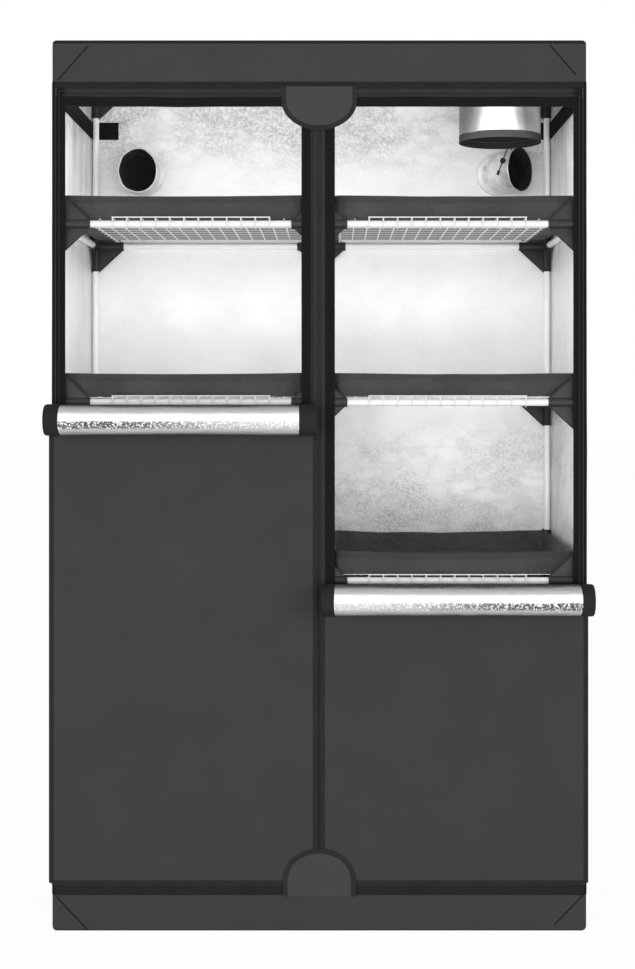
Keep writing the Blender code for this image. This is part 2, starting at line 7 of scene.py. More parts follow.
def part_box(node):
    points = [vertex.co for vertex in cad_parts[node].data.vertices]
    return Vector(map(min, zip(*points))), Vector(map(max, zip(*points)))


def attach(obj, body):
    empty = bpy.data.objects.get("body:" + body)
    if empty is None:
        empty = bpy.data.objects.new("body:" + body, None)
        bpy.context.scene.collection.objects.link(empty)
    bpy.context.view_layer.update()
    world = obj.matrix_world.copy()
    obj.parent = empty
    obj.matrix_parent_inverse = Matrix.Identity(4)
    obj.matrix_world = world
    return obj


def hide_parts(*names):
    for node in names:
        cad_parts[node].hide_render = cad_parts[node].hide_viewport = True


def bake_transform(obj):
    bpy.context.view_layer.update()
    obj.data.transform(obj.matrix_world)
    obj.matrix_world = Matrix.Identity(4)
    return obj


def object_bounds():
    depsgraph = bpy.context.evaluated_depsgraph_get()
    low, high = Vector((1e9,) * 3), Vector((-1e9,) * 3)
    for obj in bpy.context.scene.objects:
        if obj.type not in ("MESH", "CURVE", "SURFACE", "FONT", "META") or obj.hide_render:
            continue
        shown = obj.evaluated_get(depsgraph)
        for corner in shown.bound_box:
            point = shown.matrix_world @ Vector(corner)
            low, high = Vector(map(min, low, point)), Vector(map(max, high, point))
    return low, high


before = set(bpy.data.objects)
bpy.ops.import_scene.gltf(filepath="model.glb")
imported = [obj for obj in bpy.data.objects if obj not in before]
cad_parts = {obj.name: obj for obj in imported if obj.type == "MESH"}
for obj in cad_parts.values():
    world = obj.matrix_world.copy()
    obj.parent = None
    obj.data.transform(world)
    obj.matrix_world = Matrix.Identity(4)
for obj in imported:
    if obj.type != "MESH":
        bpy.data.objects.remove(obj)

cad_low, cad_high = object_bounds()

# The view, the floor and the light
# The tent is seen square from the front, from 3.6 m away and about 1.2 m up.
# It stands on a plain white studio floor, lit softly from both sides and from above.
picture_width = 635
picture_height = 969
focal_pixels = 1606
vanishing_pixel_x = 334
horizon_pixel_y = 389
distance = 3.6
eye = Vector((0.033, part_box("front_surround")[0].y - distance, 1.217))

camera = bpy.data.objects.new("camera", bpy.data.cameras.new("camera"))
bpy.context.scene.collection.objects.link(camera)
bpy.context.scene.camera = camera
camera.location = eye
camera.rotation_euler.x = math.pi / 2
camera.data.sensor_width = 36
camera.data.lens = camera.data.sensor_width * focal_pixels / picture_height
camera.data.shift_x = (picture_width / 2 - vanishing_pixel_x) / picture_height
camera.data.shift_y = (horizon_pixel_y - picture_height / 2) / picture_height
camera.data.clip_end = 100
bpy.context.scene.view_settings.view_transform = "Standard"


class Value:
    """A shader socket that plain arithmetic can use."""

    def __init__(self, finish, socket):
        self.finish = finish
        self.socket = socket

    def output(self, name):
        return Value(self.finish, self.socket.node.outputs[name])

    def __add__(self, other):
        return self.finish.number("ADD", self, other)

    def __sub__(self, other):
        return self.finish.number("SUBTRACT", self, other)

    def __rsub__(self, other):
        return self.finish.number("SUBTRACT", other, self)

    def __mul__(self, other):
        return self.finish.number("MULTIPLY", self, other)

    def __truediv__(self, other):
        return self.finish.number("DIVIDE", self, other)

    __radd__ = __add__
    __rmul__ = __mul__


class Finish:
    """A material with its main shader, and short ways to add the nodes around it."""

    def __init__(self, name, constants=None):
        self.material = bpy.data.materials.new(name)
        self.material.use_nodes = True
        self.tree = self.material.node_tree
        self.shader = self.tree.nodes["Principled BSDF"]
        for socket, value in (constants or {}).items():
            self.set(socket, value)

    def set(self, socket, value):
        if isinstance(value, Value):
            self.tree.links.new(value.socket, self.shader.inputs[socket])
        else:
            self.shader.inputs[socket].default_value = value

    def node(self, kind, settings, inputs, output=0):
        made = self.tree.nodes.new("ShaderNode" + kind)
        for key, value in settings.items():
            if key == "stops":
                while len(made.color_ramp.elements) < len(value):
                    made.color_ramp.elements.new(1)
                for stop, (place, colour) in zip(made.color_ramp.elements, value):
                    stop.position = place
                    stop.color = colour
            else:
                setattr(made, key, value)
        for key, value in inputs.items():
            if isinstance(value, Value):
                self.tree.links.new(value.socket, made.inputs[key])
            else:
                made.inputs[key].default_value = value
        return Value(self, made.outputs[output])

    def number(self, operation, *values):
        return self.node("Math", {"operation": operation}, dict(enumerate(values)))

    def place(self):
        return self.node("TexCoord", {}, {}, "Object")

    def noise(self, place, scale, detail=2.0, roughness=0.5):
        return self.node("TexNoise", {}, {"Vector": place, "Scale": scale, "Detail": detail,
                                          "Roughness": roughness})

    def ramp(self, value, low, high):
        """From 0 at low to 1 at high, smoothly, and level beyond both."""
        return self.node("MapRange", {"interpolation_type": "SMOOTHSTEP"},
                         {0: value, 1: low, 2: high, 3: 0.0, 4: 1.0})

    def mix(self, share, first, second):
        return self.node("Mix", {"data_type": "RGBA"}, {0: share, 6: first, 7: second}, 2)

    def axes(self, place):
        """The X of a place, from which output() gives its Y and Z."""
        return self.node("SeparateXYZ", {}, {0: place}, "X")

    def pebbles(self, place, scale, smoothness):
        return self.node("TexVoronoi", {"feature": "SMOOTH_F1"},
                         {"Vector": place, "Scale": scale, "Smoothness": smoothness})

    def shades(self, value, stops):
        return self.node("ValToRGB", {"stops": [(p, shade(v)) for p, v in stops]}, {0: value})

    def tint(self, share, first, second):
        """A base colour that goes from one shade to another."""
        self.set("Base Color", self.mix(share, shade(first), shade(second)))

    def bump(self, height, depth, normal=None):
        inputs = {"Height": height, "Distance": depth, "Strength": 1.0}
        if normal:
            inputs["Normal"] = normal
        return self.node("Bump", {}, inputs)


def shade(level, tint=0.0):
    """A neutral colour from its sRGB level, from 0 to 255, with a touch of blue."""
    part = level / 255
    linear = part / 12.92 if part < 0.04045 else ((part + 0.055) / 1.055) ** 2.4
    return (linear, linear * (1 + tint / 2), linear * (1 + tint), 1.0)


floor_share = 0.97
floor_gap = 0.0005
floor_finish = Finish("studio_floor", {"Base Color": (1, 1, 1, 1), "Roughness": 0.9})
floor_glow = floor_finish.node("Emission", {}, {"Color": (1, 1, 1, 1), "Strength": 1.0})
floor_path = floor_finish.node("LightPath", {}, {}, "Is Camera Ray")
floor_path = floor_finish.number("MAXIMUM", floor_path, floor_path.output("Is Glossy Ray"))
floor_mix = floor_finish.node("MixShader", {}, {0: floor_path * floor_share, 2: floor_glow})
floor_finish.tree.links.new(floor_finish.shader.outputs[0], floor_mix.socket.node.inputs[1])
floor_finish.tree.links.new(floor_mix.socket,
                            floor_finish.tree.nodes["Material Output"].inputs["Surface"])
bpy.ops.mesh.primitive_plane_add(size=60, location=(0, 0, cad_low.z - floor_gap))
floor = bpy.context.object
floor.name = "studio_floor"
floor.data.materials.append(floor_finish.material)

world = bpy.data.worlds.new("studio")
bpy.context.scene.world = world
world.use_nodes = True
nodes = world.node_tree.nodes
links = world.node_tree.links
sky = nodes["Background"]
sky_light = 0.30
rays = nodes.new("ShaderNodeLightPath")
brightest = nodes.new("ShaderNodeMapRange")
brightest.inputs["To Min"].default_value = sky_light
brightest.inputs["To Max"].default_value = 1.0
clear = rays.outputs["Is Transmission Ray"]
for ray in ("Is Camera Ray", "Is Glossy Ray"):
    either = nodes.new("ShaderNodeMath")
    either.operation = "MAXIMUM"
    links.new(rays.outputs[ray], either.inputs[0])
    links.new(clear, either.inputs[1])
    clear = either.outputs[0]
links.new(clear, brightest.inputs["Value"])
links.new(brightest.outputs[0], sky.inputs["Strength"])
sky.inputs["Color"].default_value = (1, 1, 1, 1)


def lamp(name, kind, power, place, turn):
    """A lamp of a kind, with its power, its place and its turn."""
    made = bpy.data.objects.new(name, bpy.data.lights.new(name, kind))
    bpy.context.scene.collection.objects.link(made)
    made.data.energy = power
    made.location = place
    made.rotation_euler = turn
    return made


suns = {
    "left_light": ((-1.1, -1.0, 0.05), 1.2, 30),
    "right_light": ((1.1, -1.0, 0.05), 1.2, 30),
    "top_light": ((0.05, -0.35, 1.0), 0.24, 50),
}
for name, (way, power, spread) in suns.items():
    way = Vector(way)
    sun = lamp(name, "SUN", power, way * distance, way.to_track_quat("Z", "Y").to_euler())
    sun.data.angle = math.radians(spread)
bay_x = 0.305
fill_y = -0.230
fill_width = 0.53
softboxes = {
    "camera_softbox": (eye + Vector((0, -0.6, 0)), 90, 2.2, 2.2, 15, True),
    "low_softbox": ((0, -3.8, 0.38), 105, 3.5, 0.6, 35, True),
    "left_top_fill": ((-bay_x, fill_y, 1.725), 90, fill_width, 0.25, 1.75, False),
    "right_top_fill": ((bay_x, fill_y, 1.725), 90, fill_width, 0.25, 1.75, False),
    "left_middle_fill": ((-bay_x, fill_y, 1.36), 90, fill_width, 0.35, 1.36, False),
    "right_middle_fill": ((bay_x, fill_y, 1.36), 90, fill_width, 0.35, 1.36, False),
    "low_fill": ((bay_x, fill_y, 0.98), 90, fill_width, 0.38, 1.5, False),
}
for name, (place, tilt, width, height, power, mirrored) in softboxes.items():
    softbox = lamp(name, "AREA", power, place, (math.radians(tilt), 0, 0))
    softbox.data.shape = "RECTANGLE"
    softbox.data.size = width
    softbox.data.size_y = height
    softbox.visible_camera = False
    softbox.visible_glossy = mirrored


# The drawcord of the turned duct sleeve
# A thin black braided cord runs out of the sleeve's mouth, through a sprung plastic lock,
# down to a moulded end piece. Its free length is what the photograph shows.
cord_radius = 0.0016
cord_route = [
    (0.4836, 0.2150, 1.8230),
    (0.4820, 0.2133, 1.8265),
    (0.4755, 0.2050, 1.8275),
    (0.4690, 0.1918, 1.8190),
    (0.4628, 0.1888, 1.8036),
    (0.4561, 0.1888, 1.7858),
    (0.4495, 0.1888, 1.7680),
]


def smooth_route(points, spacing):
    """Evenly dense points on a smooth curve through the given points."""
    points = [Vector(p) for p in points]
    padded = [2 * points[0] - points[1], *points, 2 * points[-1] - points[-2]]
    route = [points[0]]
    for before, start, end, after in zip(padded, padded[1:], padded[2:], padded[3:]):
        count = max(1, round((end - start).length / spacing))
        for step in range(1, count + 1):
            t = step / count
            bend = (end - before) * t + (2 * before - 5 * start + 4 * end - after) * t ** 2
            bend += (3 * start - before - 3 * end + after) * t ** 3
            route.append(start + bend / 2)
    return route


def wire(name, points, radius, rings=3, cyclic=False):
    """A round cord or wire along a line of points, as a curve with filled ends."""
    curve = bpy.data.curves.new(name, "CURVE")
    curve.dimensions = "3D"
    curve.bevel_depth = radius
    curve.bevel_resolution = rings
    curve.use_fill_caps = not cyclic
    spline = curve.splines.new("POLY")
    spline.points.add(len(points) - 1)
    for point, place in zip(spline.points, points):
        point.co = (*place, 1)
    spline.use_cyclic_u = cyclic
    made = bpy.data.objects.new(name, curve)
    bpy.context.scene.collection.objects.link(made)
    return made


def belongs(piece, node=None, body="tent"):
    """Rides a piece on its body and the CAD node it stands for."""
    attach(piece, body)
    if node:
        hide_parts(node)


def wear(piece, *finishes):
    """Gives a piece its materials, in the order of its faces' numbers."""
    piece.data.materials.clear()
    for finish in finishes:
        piece.data.materials.append(finish.material)
    return piece


def braid(name, colour):
    finish = Finish(name, {"Roughness": 0.75, "Sheen Weight": 0.2})
    place = finish.place()
    strands = finish.node("TexWave", {"bands_direction": "DIAGONAL"},
                          {"Vector": place, "Scale": 420.0, "Distortion": 3.0})
    finish.tint(strands, colour, colour * 1.7)
    finish.set("Normal", finish.bump(strands, 0.0002))
    return finish


def moulded(name, colour, roughness=0.42):
    """Black moulded plastic with a fine spark grain and a few dull patches."""
    finish = Finish(name, {"Specular IOR Level": 0.3})
    place = finish.place()
    grain = finish.noise(place, 1400.0, 2.0)
    patches = finish.noise(place, 22.0, 3.0)
    finish.tint(patches, colour, colour * 1.25)
    finish.set("Roughness", patches * 0.12 + (roughness - 0.05))
    finish.set("Normal", finish.bump(grain, 0.00008))
    return finish


cord_points = smooth_route(cord_route, 0.003)
cord_length = sum((b - a).length for a, b in zip(cord_points, cord_points[1:]))
drawcord = wire("sleeve_drawcord", cord_points, cord_radius)
wear(drawcord, braid("black_braid", 22))
belongs(drawcord, "drawcord")
lock_finish = moulded("black_fitting", 22, 0.55)
fittings = ["cord_lock", "cord_plunger", "cord_end"]
for name in fittings:
    bpy.data.objects[name].data.materials[0] = lock_finish.material


# The upright posts
# Six posts of 16 mm steel tube, coated white, stand at the corners and in the middle
# of the long sides, and push through the sockets of every level.
def select_only(*pieces):
    bpy.ops.object.select_all(action="DESELECT")
    for piece in pieces:
        piece.select_set(True)
    bpy.context.view_layer.objects.active = pieces[0]


def change(piece, kind, **settings):
    """Adds a modifier to a piece and applies it."""
    select_only(piece)
    step = piece.modifiers.new(kind.lower(), kind)
    for key, value in settings.items():
        setattr(step, key, value)
    bpy.ops.object.modifier_apply(modifier=step.name)
    return piece


def soften(piece, width, angle=1.0):
    """Rounds the edges that are sharper than an angle."""
    change(piece, "BEVEL", width=width, segments=2, limit_method="ANGLE", angle_limit=angle)


def smooth(piece):
    select_only(piece)
    bpy.ops.object.shade_smooth_by_angle(angle=math.radians(40))
    return piece


def edit(piece, pick, *steps, part="polygons"):
    """Selects the parts that pick chooses, then runs each edit-mode step on them."""
    select_only(piece)
    bpy.ops.object.mode_set(mode="EDIT")
    bpy.ops.mesh.select_mode(type={"polygons": "FACE", "edges": "EDGE", "vertices": "VERT"}[part])
    bpy.ops.mesh.select_all(action="DESELECT")
    bpy.ops.object.mode_set(mode="OBJECT")
    for item in getattr(piece.data, part):
        item.select = bool(pick(item))
    bpy.ops.object.mode_set(mode="EDIT")
    for operator, settings in steps:
        operator(**settings)
    bpy.ops.object.mode_set(mode="OBJECT")
    return piece


def rod(start, end, radius, sides=24):
    """A closed round bar between two points."""
    start = Vector(start)
    end = Vector(end)
    turn = (end - start).to_track_quat("Z", "Y").to_euler()
    bpy.ops.mesh.primitive_cylinder_add(vertices=sides, radius=radius, depth=(end - start).length,
                                        location=(start + end) / 2, rotation=turn)
    made = bpy.context.object
    bpy.ops.object.transform_apply(location=True, rotation=True, scale=True)
    return made


def joined(name, pieces):
    """One piece made of several, with a name of its own."""
    select_only(*pieces)
    bpy.ops.object.join()
    made = bpy.context.object
    made.name = made.data.name = name
    return made


def copied(piece, name, place):
    """A copy with its own mesh, put in its place by a matrix."""
    made = bpy.data.objects.new(name, piece.data.copy())
    bpy.context.scene.collection.objects.link(made)
    made.data.transform(place)
    if place.determinant() < 0:
        made.data.flip_normals()
    return made


def powder_coat(name, level):
    """White coated steel with a light orange peel and faint rubbed patches."""
    finish = Finish(name, {"Coat Roughness": 0.25, "Specular IOR Level": 0.5})
    place = finish.place()
    peel = finish.noise(place, 900.0, 1.0)
    rub = finish.noise(place, 14.0, 4.0, 0.6)
    finish.tint(rub, level, level - 10)
    finish.set("Roughness", rub * 0.2 + 0.25)
    finish.set("Normal", finish.bump(peel, 0.00006))
    return finish


tube_wall = 0.0008
white_coat = powder_coat("white_coat", 254)
post_low, post_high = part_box("post_front_left")
pole_radius = (post_high.x - post_low.x) / 2
for end in ("front", "back"):
    for side in ("left", "centre", "right"):
        low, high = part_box(f"post_{end}_{side}")
        middle = (low + high) / 2
        post = rod((middle.x, middle.y, low.z), (middle.x, middle.y, high.z), pole_radius, 32)
        edit(post, lambda face: abs(face.normal.z) > 0.9,
             (bpy.ops.mesh.delete, {"type": "ONLY_FACE"}))
        change(post, "SOLIDIFY", thickness=tube_wall, offset=-1)
        soften(post, 0.0003)
        post.name = post.data.name = f"tube_{end}_{side}"
        smooth(wear(post, white_coat))
        belongs(post, f"post_{end}_{side}")


# The rails and connectors of the six levels
# White tubes plug into black moulded connectors with round sockets, collars at their mouths
# and thin triangular webs, at the floor, at the four shelves and under the roof.
sleeve_radius = 0.0101
collar_radius = 0.0107
collar_length = 0.007
corner_socket = (0.073, 0.079, 0.073)
middle_socket = (0.063, 0.065, 0.062)
depth_reach = 0.065
depth_leg = 0.056
gusset_thickness = 0.003
hub_overlap = 0.004
tube_inset = 0.02
front_post_y = (post_low.y + post_high.y) / 2
back_post_y = sum(p.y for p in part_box("post_back_left")) / 2
post_x = -(post_low.x + post_high.x) / 2
shelf_names = [f"shelf_frame_{number}" for number in (1, 2, 3, 4)]
shelf_levels = [sum(p.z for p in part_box(name)) / 2 for name in shelf_names]
skin_gap = 0.0004
level_heights = {
    "floor_frame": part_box("floor_frame")[0].z + sleeve_radius + skin_gap,
    **dict(zip(shelf_names, shelf_levels)),
    "top_frame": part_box("top_frame")[1].z - sleeve_radius - skin_gap,
}


def web(way, across, along):
    """A triangular plate between an upright socket and one that runs along a direction, with
    a thick outer edge. It reaches across along that direction, and along up the upright."""
    way = Vector(way)
    size = way * across + Vector((0, 0, along))
    bpy.ops.mesh.primitive_cube_add(size=1, location=size / 2)
    plate = bpy.context.object
    plate.scale = [abs(side) or gusset_thickness for side in size]
    bpy.ops.object.transform_apply(location=True, rotation=True, scale=True)
    bpy.ops.object.mode_set(mode="EDIT")
    bpy.ops.mesh.select_all(action="SELECT")
    cut = way * abs(along) + Vector((0, 0, math.copysign(across, along)))
    bpy.ops.mesh.bisect(plane_co=way * across, plane_no=cut, use_fill=True, clear_outer=True)
    bpy.ops.object.mode_set(mode="OBJECT")
    rim = rod(way * across, (0, 0, along), gusset_thickness * 0.75, 12)
    return [plate, rim]


def connector(arms, side_socket):
    """A hub with one socket for each arm, and webs between upright and level sockets."""
    side_reach, side_leg, side_rise = side_socket
    rises = [arm[2] for arm in arms if arm[2]]
    parts = []
    for arm in arms:
        way = Vector(arm)
        end = way * (side_reach if arm[0] else depth_reach)
        parts.append(rod(way * -hub_overlap, end - way * collar_length, sleeve_radius))
        parts.append(rod(end - way * collar_length, end, collar_radius))
        for rise in rises:
            if arm[0]:
                parts += web(arm, side_leg, rise * side_rise)
            elif arm[1]:
                parts += web(arm, depth_leg, rise * depth_leg)
    made = joined("connector", parts)
    soften(made, 0.0007, 1.2)
    return smooth(made)


black_moulding = moulded("black_moulding", 40, 0.4)
reaches = {"floor_frame": [1], "top_frame": [-1]}
for name, height in level_heights.items():
    ups = [(0, 0, rise) for rise in reaches.get(name, [1, -1])]
    sets = []
    for y, inward in ((front_post_y, 1), (back_post_y, -1)):
        for x, sides in ((-post_x, [1]), (0, [1, -1]), (post_x, [-1])):
            arms = [*ups, (0, inward, 0), *((side, 0, 0) for side in sides)]
            piece = connector(arms, corner_socket if x else middle_socket)
            piece.data.transform(Matrix.Translation((x, y, height)))
            sets.append(piece)
    hubs = joined(name.replace("frame", "connectors"), sets)
    belongs(wear(hubs, black_moulding))
    runs = []
    for y in (front_post_y, back_post_y):
        runs += [((-post_x + tube_inset, y), (-tube_inset, y)),
                 ((tube_inset, y), (post_x - tube_inset, y))]
    runs += [((x, front_post_y + tube_inset), (x, back_post_y - tube_inset))
             for x in (-post_x, 0, post_x)]
    tubes = [rod((*start, height), (*end, height), pole_radius, 32) for start, end in runs]
    rails = smooth(wear(joined(name.replace("frame", "rails"), tubes), white_coat))
    belongs(rails, name)


# The wire shelves
# Each shelf is a grid of coated wires, 3 mm thick along its depth. The twelve middle wires end
# in hooks that stand above the front rail, share one top wire, and wrap down over the rail.
wire_radius = 0.0015
depth_wires = 16
hooked = range(2, 14)
depth_spacing = 0.032
cross_wires = 11
cross_spacing = 0.0505
cross_wire_radius = 0.0009
hook_rise = 0.0145
hook_gap = 0.0002
rail_clear = 0.012
first_cross = 0.035
cross_overhang = 0.004
hook_overhang = 0.002
grid_low, grid_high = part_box("wire_grid_right_1")
grid_height = (grid_low.z + grid_high.z) / 2 - shelf_levels[0]
first_x = grid_low.x + wire_radius
wire_xs = [first_x + depth_spacing * n for n in range(depth_wires)]
hook_reach = pole_radius + wire_radius + hook_gap
hook_y = front_post_y - hook_reach


def level_wire(first, last, overhang, y, height, radius=wire_radius):
    """A wire that runs across the shelf, and past its first and last depth wires."""
    left, right = wire_xs[first] - overhang, wire_xs[last] + overhang
    return rod((left, y, height), (right, y, height), radius, 10)


parts = []
for number, x in enumerate(wire_xs):
    start_y = hook_y if number in hooked else front_post_y + rail_clear
    parts.append(rod((x, start_y, grid_height), (x, grid_high.y, grid_height), wire_radius, 10))
under = grid_height - wire_radius - cross_wire_radius
for step in range(cross_wires):
    y = front_post_y + first_cross + cross_spacing * step
    if y < back_post_y - rail_clear:
        parts.append(level_wire(0, -1, cross_overhang, y, under, cross_wire_radius))
parts.append(level_wire(0, -1, 0, grid_high.y - wire_radius, grid_height))
for number in hooked:
    x = wire_xs[number]
    curl = [(x, front_post_y - hook_reach * math.cos(a), -hook_reach * math.sin(a))
            for a in (math.radians(10 * n) for n in range(11))]
    hook = wire("hook", [(x, hook_y, hook_rise), *curl], wire_radius, 1)
    select_only(hook)
    bpy.ops.object.convert(target="MESH")
    parts.append(bpy.context.object)
parts.append(level_wire(hooked[0], hooked[-1], hook_overhang, hook_y, hook_rise))
grid = smooth(wear(joined("shelf_grid", parts), powder_coat("white_wire", 240)))
mirror = Matrix.Diagonal((-1, 1, 1, 1))
for number, height in enumerate(shelf_levels, 1):
    for side, turn in (("left", mirror), ("right", Matrix.Identity(4))):
        place = Matrix.Translation((0, 0, height)) @ turn
        piece = copied(grid, f"shelf_grid_{side}_{number}", place)
        belongs(piece, f"wire_grid_{side}_{number}")
bpy.data.objects.remove(grid)


# The fabric trays
# Each tray is a shallow box of dark coated cloth with rounded corners. A folded hem is sewn
# round its rim, and its sides bow out and sag a little.
def lay_weave(piece):
    """A flat UV map in metres, so that the weave keeps its size on every face."""
    mesh = piece.data
    layer = mesh.uv_layers.get("weave") or mesh.uv_layers.new(name="weave")
    for face in mesh.polygons:
        axis = max(range(3), key=lambda n: abs(face.normal[n]))
        across, along = ((1, 2), (0, 2), (0, 1))[axis]
        for loop in face.loop_indices:
            place = mesh.vertices[mesh.loops[loop].vertex_index].co
            layer.data[loop].uv = (place[across], place[along])
    return piece


def woven(name, level, pitch=0.0012, tint=0.0, fold_depth=0.0012, spread=0.10):
    """Matt coated cloth: a plain weave and soft broad folds. Its colour follows the same noise as
    the folds, lighter on their crests and darker in their hollows: partly random tone, partly
    painted highlight and shade.
    """
    finish = Finish(name, {"Sheen Weight": 0.04, "Sheen Roughness": 0.5, "Specular IOR Level": 0.2})
    spot = finish.node("UVMap", {"uv_map": "weave"}, {})
    split = finish.axes(spot)
    step = 2 * math.pi / pitch
    warp = finish.number("SINE", split * step)
    weft = finish.number("SINE", split.output("Y") * step)
    threads = warp * weft * 0.5 + 0.5
    place = finish.place()
    folds = finish.noise(place, 9.0, 3.0, 0.55)
    slubs = finish.noise(place, 160.0, 2.0)
    # Colour from the folds' height: painted highlight on their crests and painted shade in their
    # hollows, with random slubs and the weave.
    tone = folds * 0.7 + slubs * 0.15 + threads * 0.15
    finish.set("Base Color", finish.mix(tone, shade(level * (1 - spread), tint),
                                         shade(level * (1 + spread), tint)))
    finish.set("Roughness", slubs * 0.1 + 0.80)
    ripple = finish.bump(folds, fold_depth * 8)
    finish.set("Normal", finish.bump(threads, 0.00012, ripple))
    return finish


def box(low, high):
    """A closed box between two corners."""
    low = Vector(low)
    high = Vector(high)
    bpy.ops.mesh.primitive_cube_add(size=1, location=(low + high) / 2)
    made = bpy.context.object
    made.scale = high - low
    bpy.ops.object.transform_apply(location=True, rotation=True, scale=True)
    return made


def upright(piece, edge):
    """Whether an edge of a piece stands straight up."""
    a, b = (piece.data.vertices[n].co for n in edge.vertices)
    return abs(a.z - b.z) > 0.001 and (a.xy - b.xy).length < 0.001


def arch(share):
    """0 at both ends and 1 in the middle."""
    return math.sin(math.pi * min(1, max(0, share)))


# The trays' wide spread paints strong light and dark patches over their folds: painted highlight
# and shade.
tray_cloth = woven("tray_cloth", 66, 0.0011, 0.10, fold_depth=0.006, spread=0.34)
hem_cloth = woven("tray_hem", 62, 0.0010, 0.10, fold_depth=0.004, spread=0.17)
tray_corner = 0.012
tray_flare = 0.012
tray_bow = 0.0022
hem_height = 0.012
hem_thickness = 0.0022
cloth_thickness = 0.0014


def end_of(share):
    """1 at the high end of a span, -1 at its low end and 0 between them."""
    return (share > 0.97) - (share < 0.03)


def bow(place, low, high, sag):
    """Bows a tray's sides outward and lets its rim sag, most at the middle of each side."""
    part = (place.z - low.z) / (high.z - low.z)
    u = (place.x - low.x) / (high.x - low.x)
    v = (place.y - low.y) / (high.y - low.y)
    bulge = arch(part * 0.8)
    place.y += end_of(v) * tray_bow * arch(u) * bulge
    place.x += end_of(u) * tray_bow * arch(v) * bulge
    drop = sag * (arch(u) if end_of(v) else arch(v) if end_of(u) else 0) * part ** 2
    ripple = noise.noise(Vector((place.x * 9, place.y * 9, 3.1))) * sag * 0.7 * part
    place.z -= drop + ripple


for number in (1, 2, 3, 4):
    for side in ("left", "right"):
        node = f"tray_{side}_{number}"
        low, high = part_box(node)
        if side == "left":
            low.x -= tray_flare
        else:
            high.x += tray_flare
        tray = box(low, high)
        tray.name = tray.data.name = f"cloth_{node}"
        edit(tray, lambda face: face.normal.z > 0.5, (bpy.ops.mesh.delete, {"type": "ONLY_FACE"}))
        edit(tray, lambda edge: upright(tray, edge),
             (bpy.ops.mesh.bevel, {"offset": tray_corner, "segments": 5, "affect": "EDGES"}),
             part="edges")
        edit(tray, lambda face: True, (bpy.ops.mesh.subdivide, {"number_cuts": 9}))
        sag = 0.006 if node == "tray_right_2" else 0.0025
        for vertex in tray.data.vertices:
            bow(vertex.co, low, high, sag)
        hem_line = high.z - hem_height - sag
        edit(tray, lambda face: abs(face.normal.z) < 0.5 and face.center.z > hem_line,
             (bpy.ops.mesh.duplicate, {}), (bpy.ops.mesh.separate, {"type": "SELECTED"}))
        hem = next(o for o in bpy.context.selected_objects if o != tray)
        hem.name = hem.data.name = f"tray_hem_{side}_{number}"
        change(tray, "SOLIDIFY", thickness=cloth_thickness, offset=-1)
        change(hem, "SOLIDIFY", thickness=hem_thickness, offset=0.1)
        soften(hem, 0.0005)
        smooth(lay_weave(wear(tray, tray_cloth)))
        smooth(lay_weave(wear(hem, hem_cloth)))
        belongs(tray, node, body=node)
        belongs(hem, body=node)


# The skin: floor tub, roof cap and walls
# Heavy dark cloth with a bright foil lining is cut into a tub, a cap, two side walls and a
# back wall, which the frame inside pushes out slightly. They are sewn together at their edges.
skin_cloth = woven("skin_cloth", 60)
stitch_length = 0.0034
stitch_width = 0.0004


def stitched(name, level, pitch=0.0016, inset=0.0022):
    """Ribbed tape with a row of stitches along each edge, read from its UV map."""
    finish = Finish(name, {"Specular IOR Level": 0.06})
    spot = finish.node("UVMap", {"uv_map": "weave"}, {})
    from_edge = finish.axes(spot)
    along = from_edge.output("Y")
    ribs = finish.number("SINE", along * (2 * math.pi / pitch)) * 0.5 + 0.5
    row = finish.number("COMPARE", from_edge, inset, stitch_width)
    thread = finish.number("SINE", along * (2 * math.pi / stitch_length))
    stitch = row * finish.number("GREATER_THAN", thread, -0.4)
    patches = finish.noise(finish.place(), 18.0, 3.0)
    cloth = finish.mix(patches, shade(level * 0.92), shade(level * 1.08))
    finish.colour = finish.mix(stitch, cloth, shade(level * 1.5))
    finish.set("Base Color", finish.colour)
    finish.set("Roughness", ribs * 0.08 + 0.72)
    finish.set("Normal", finish.bump(stitch, 0.0005, finish.bump(ribs, 0.00015)))
    return finish


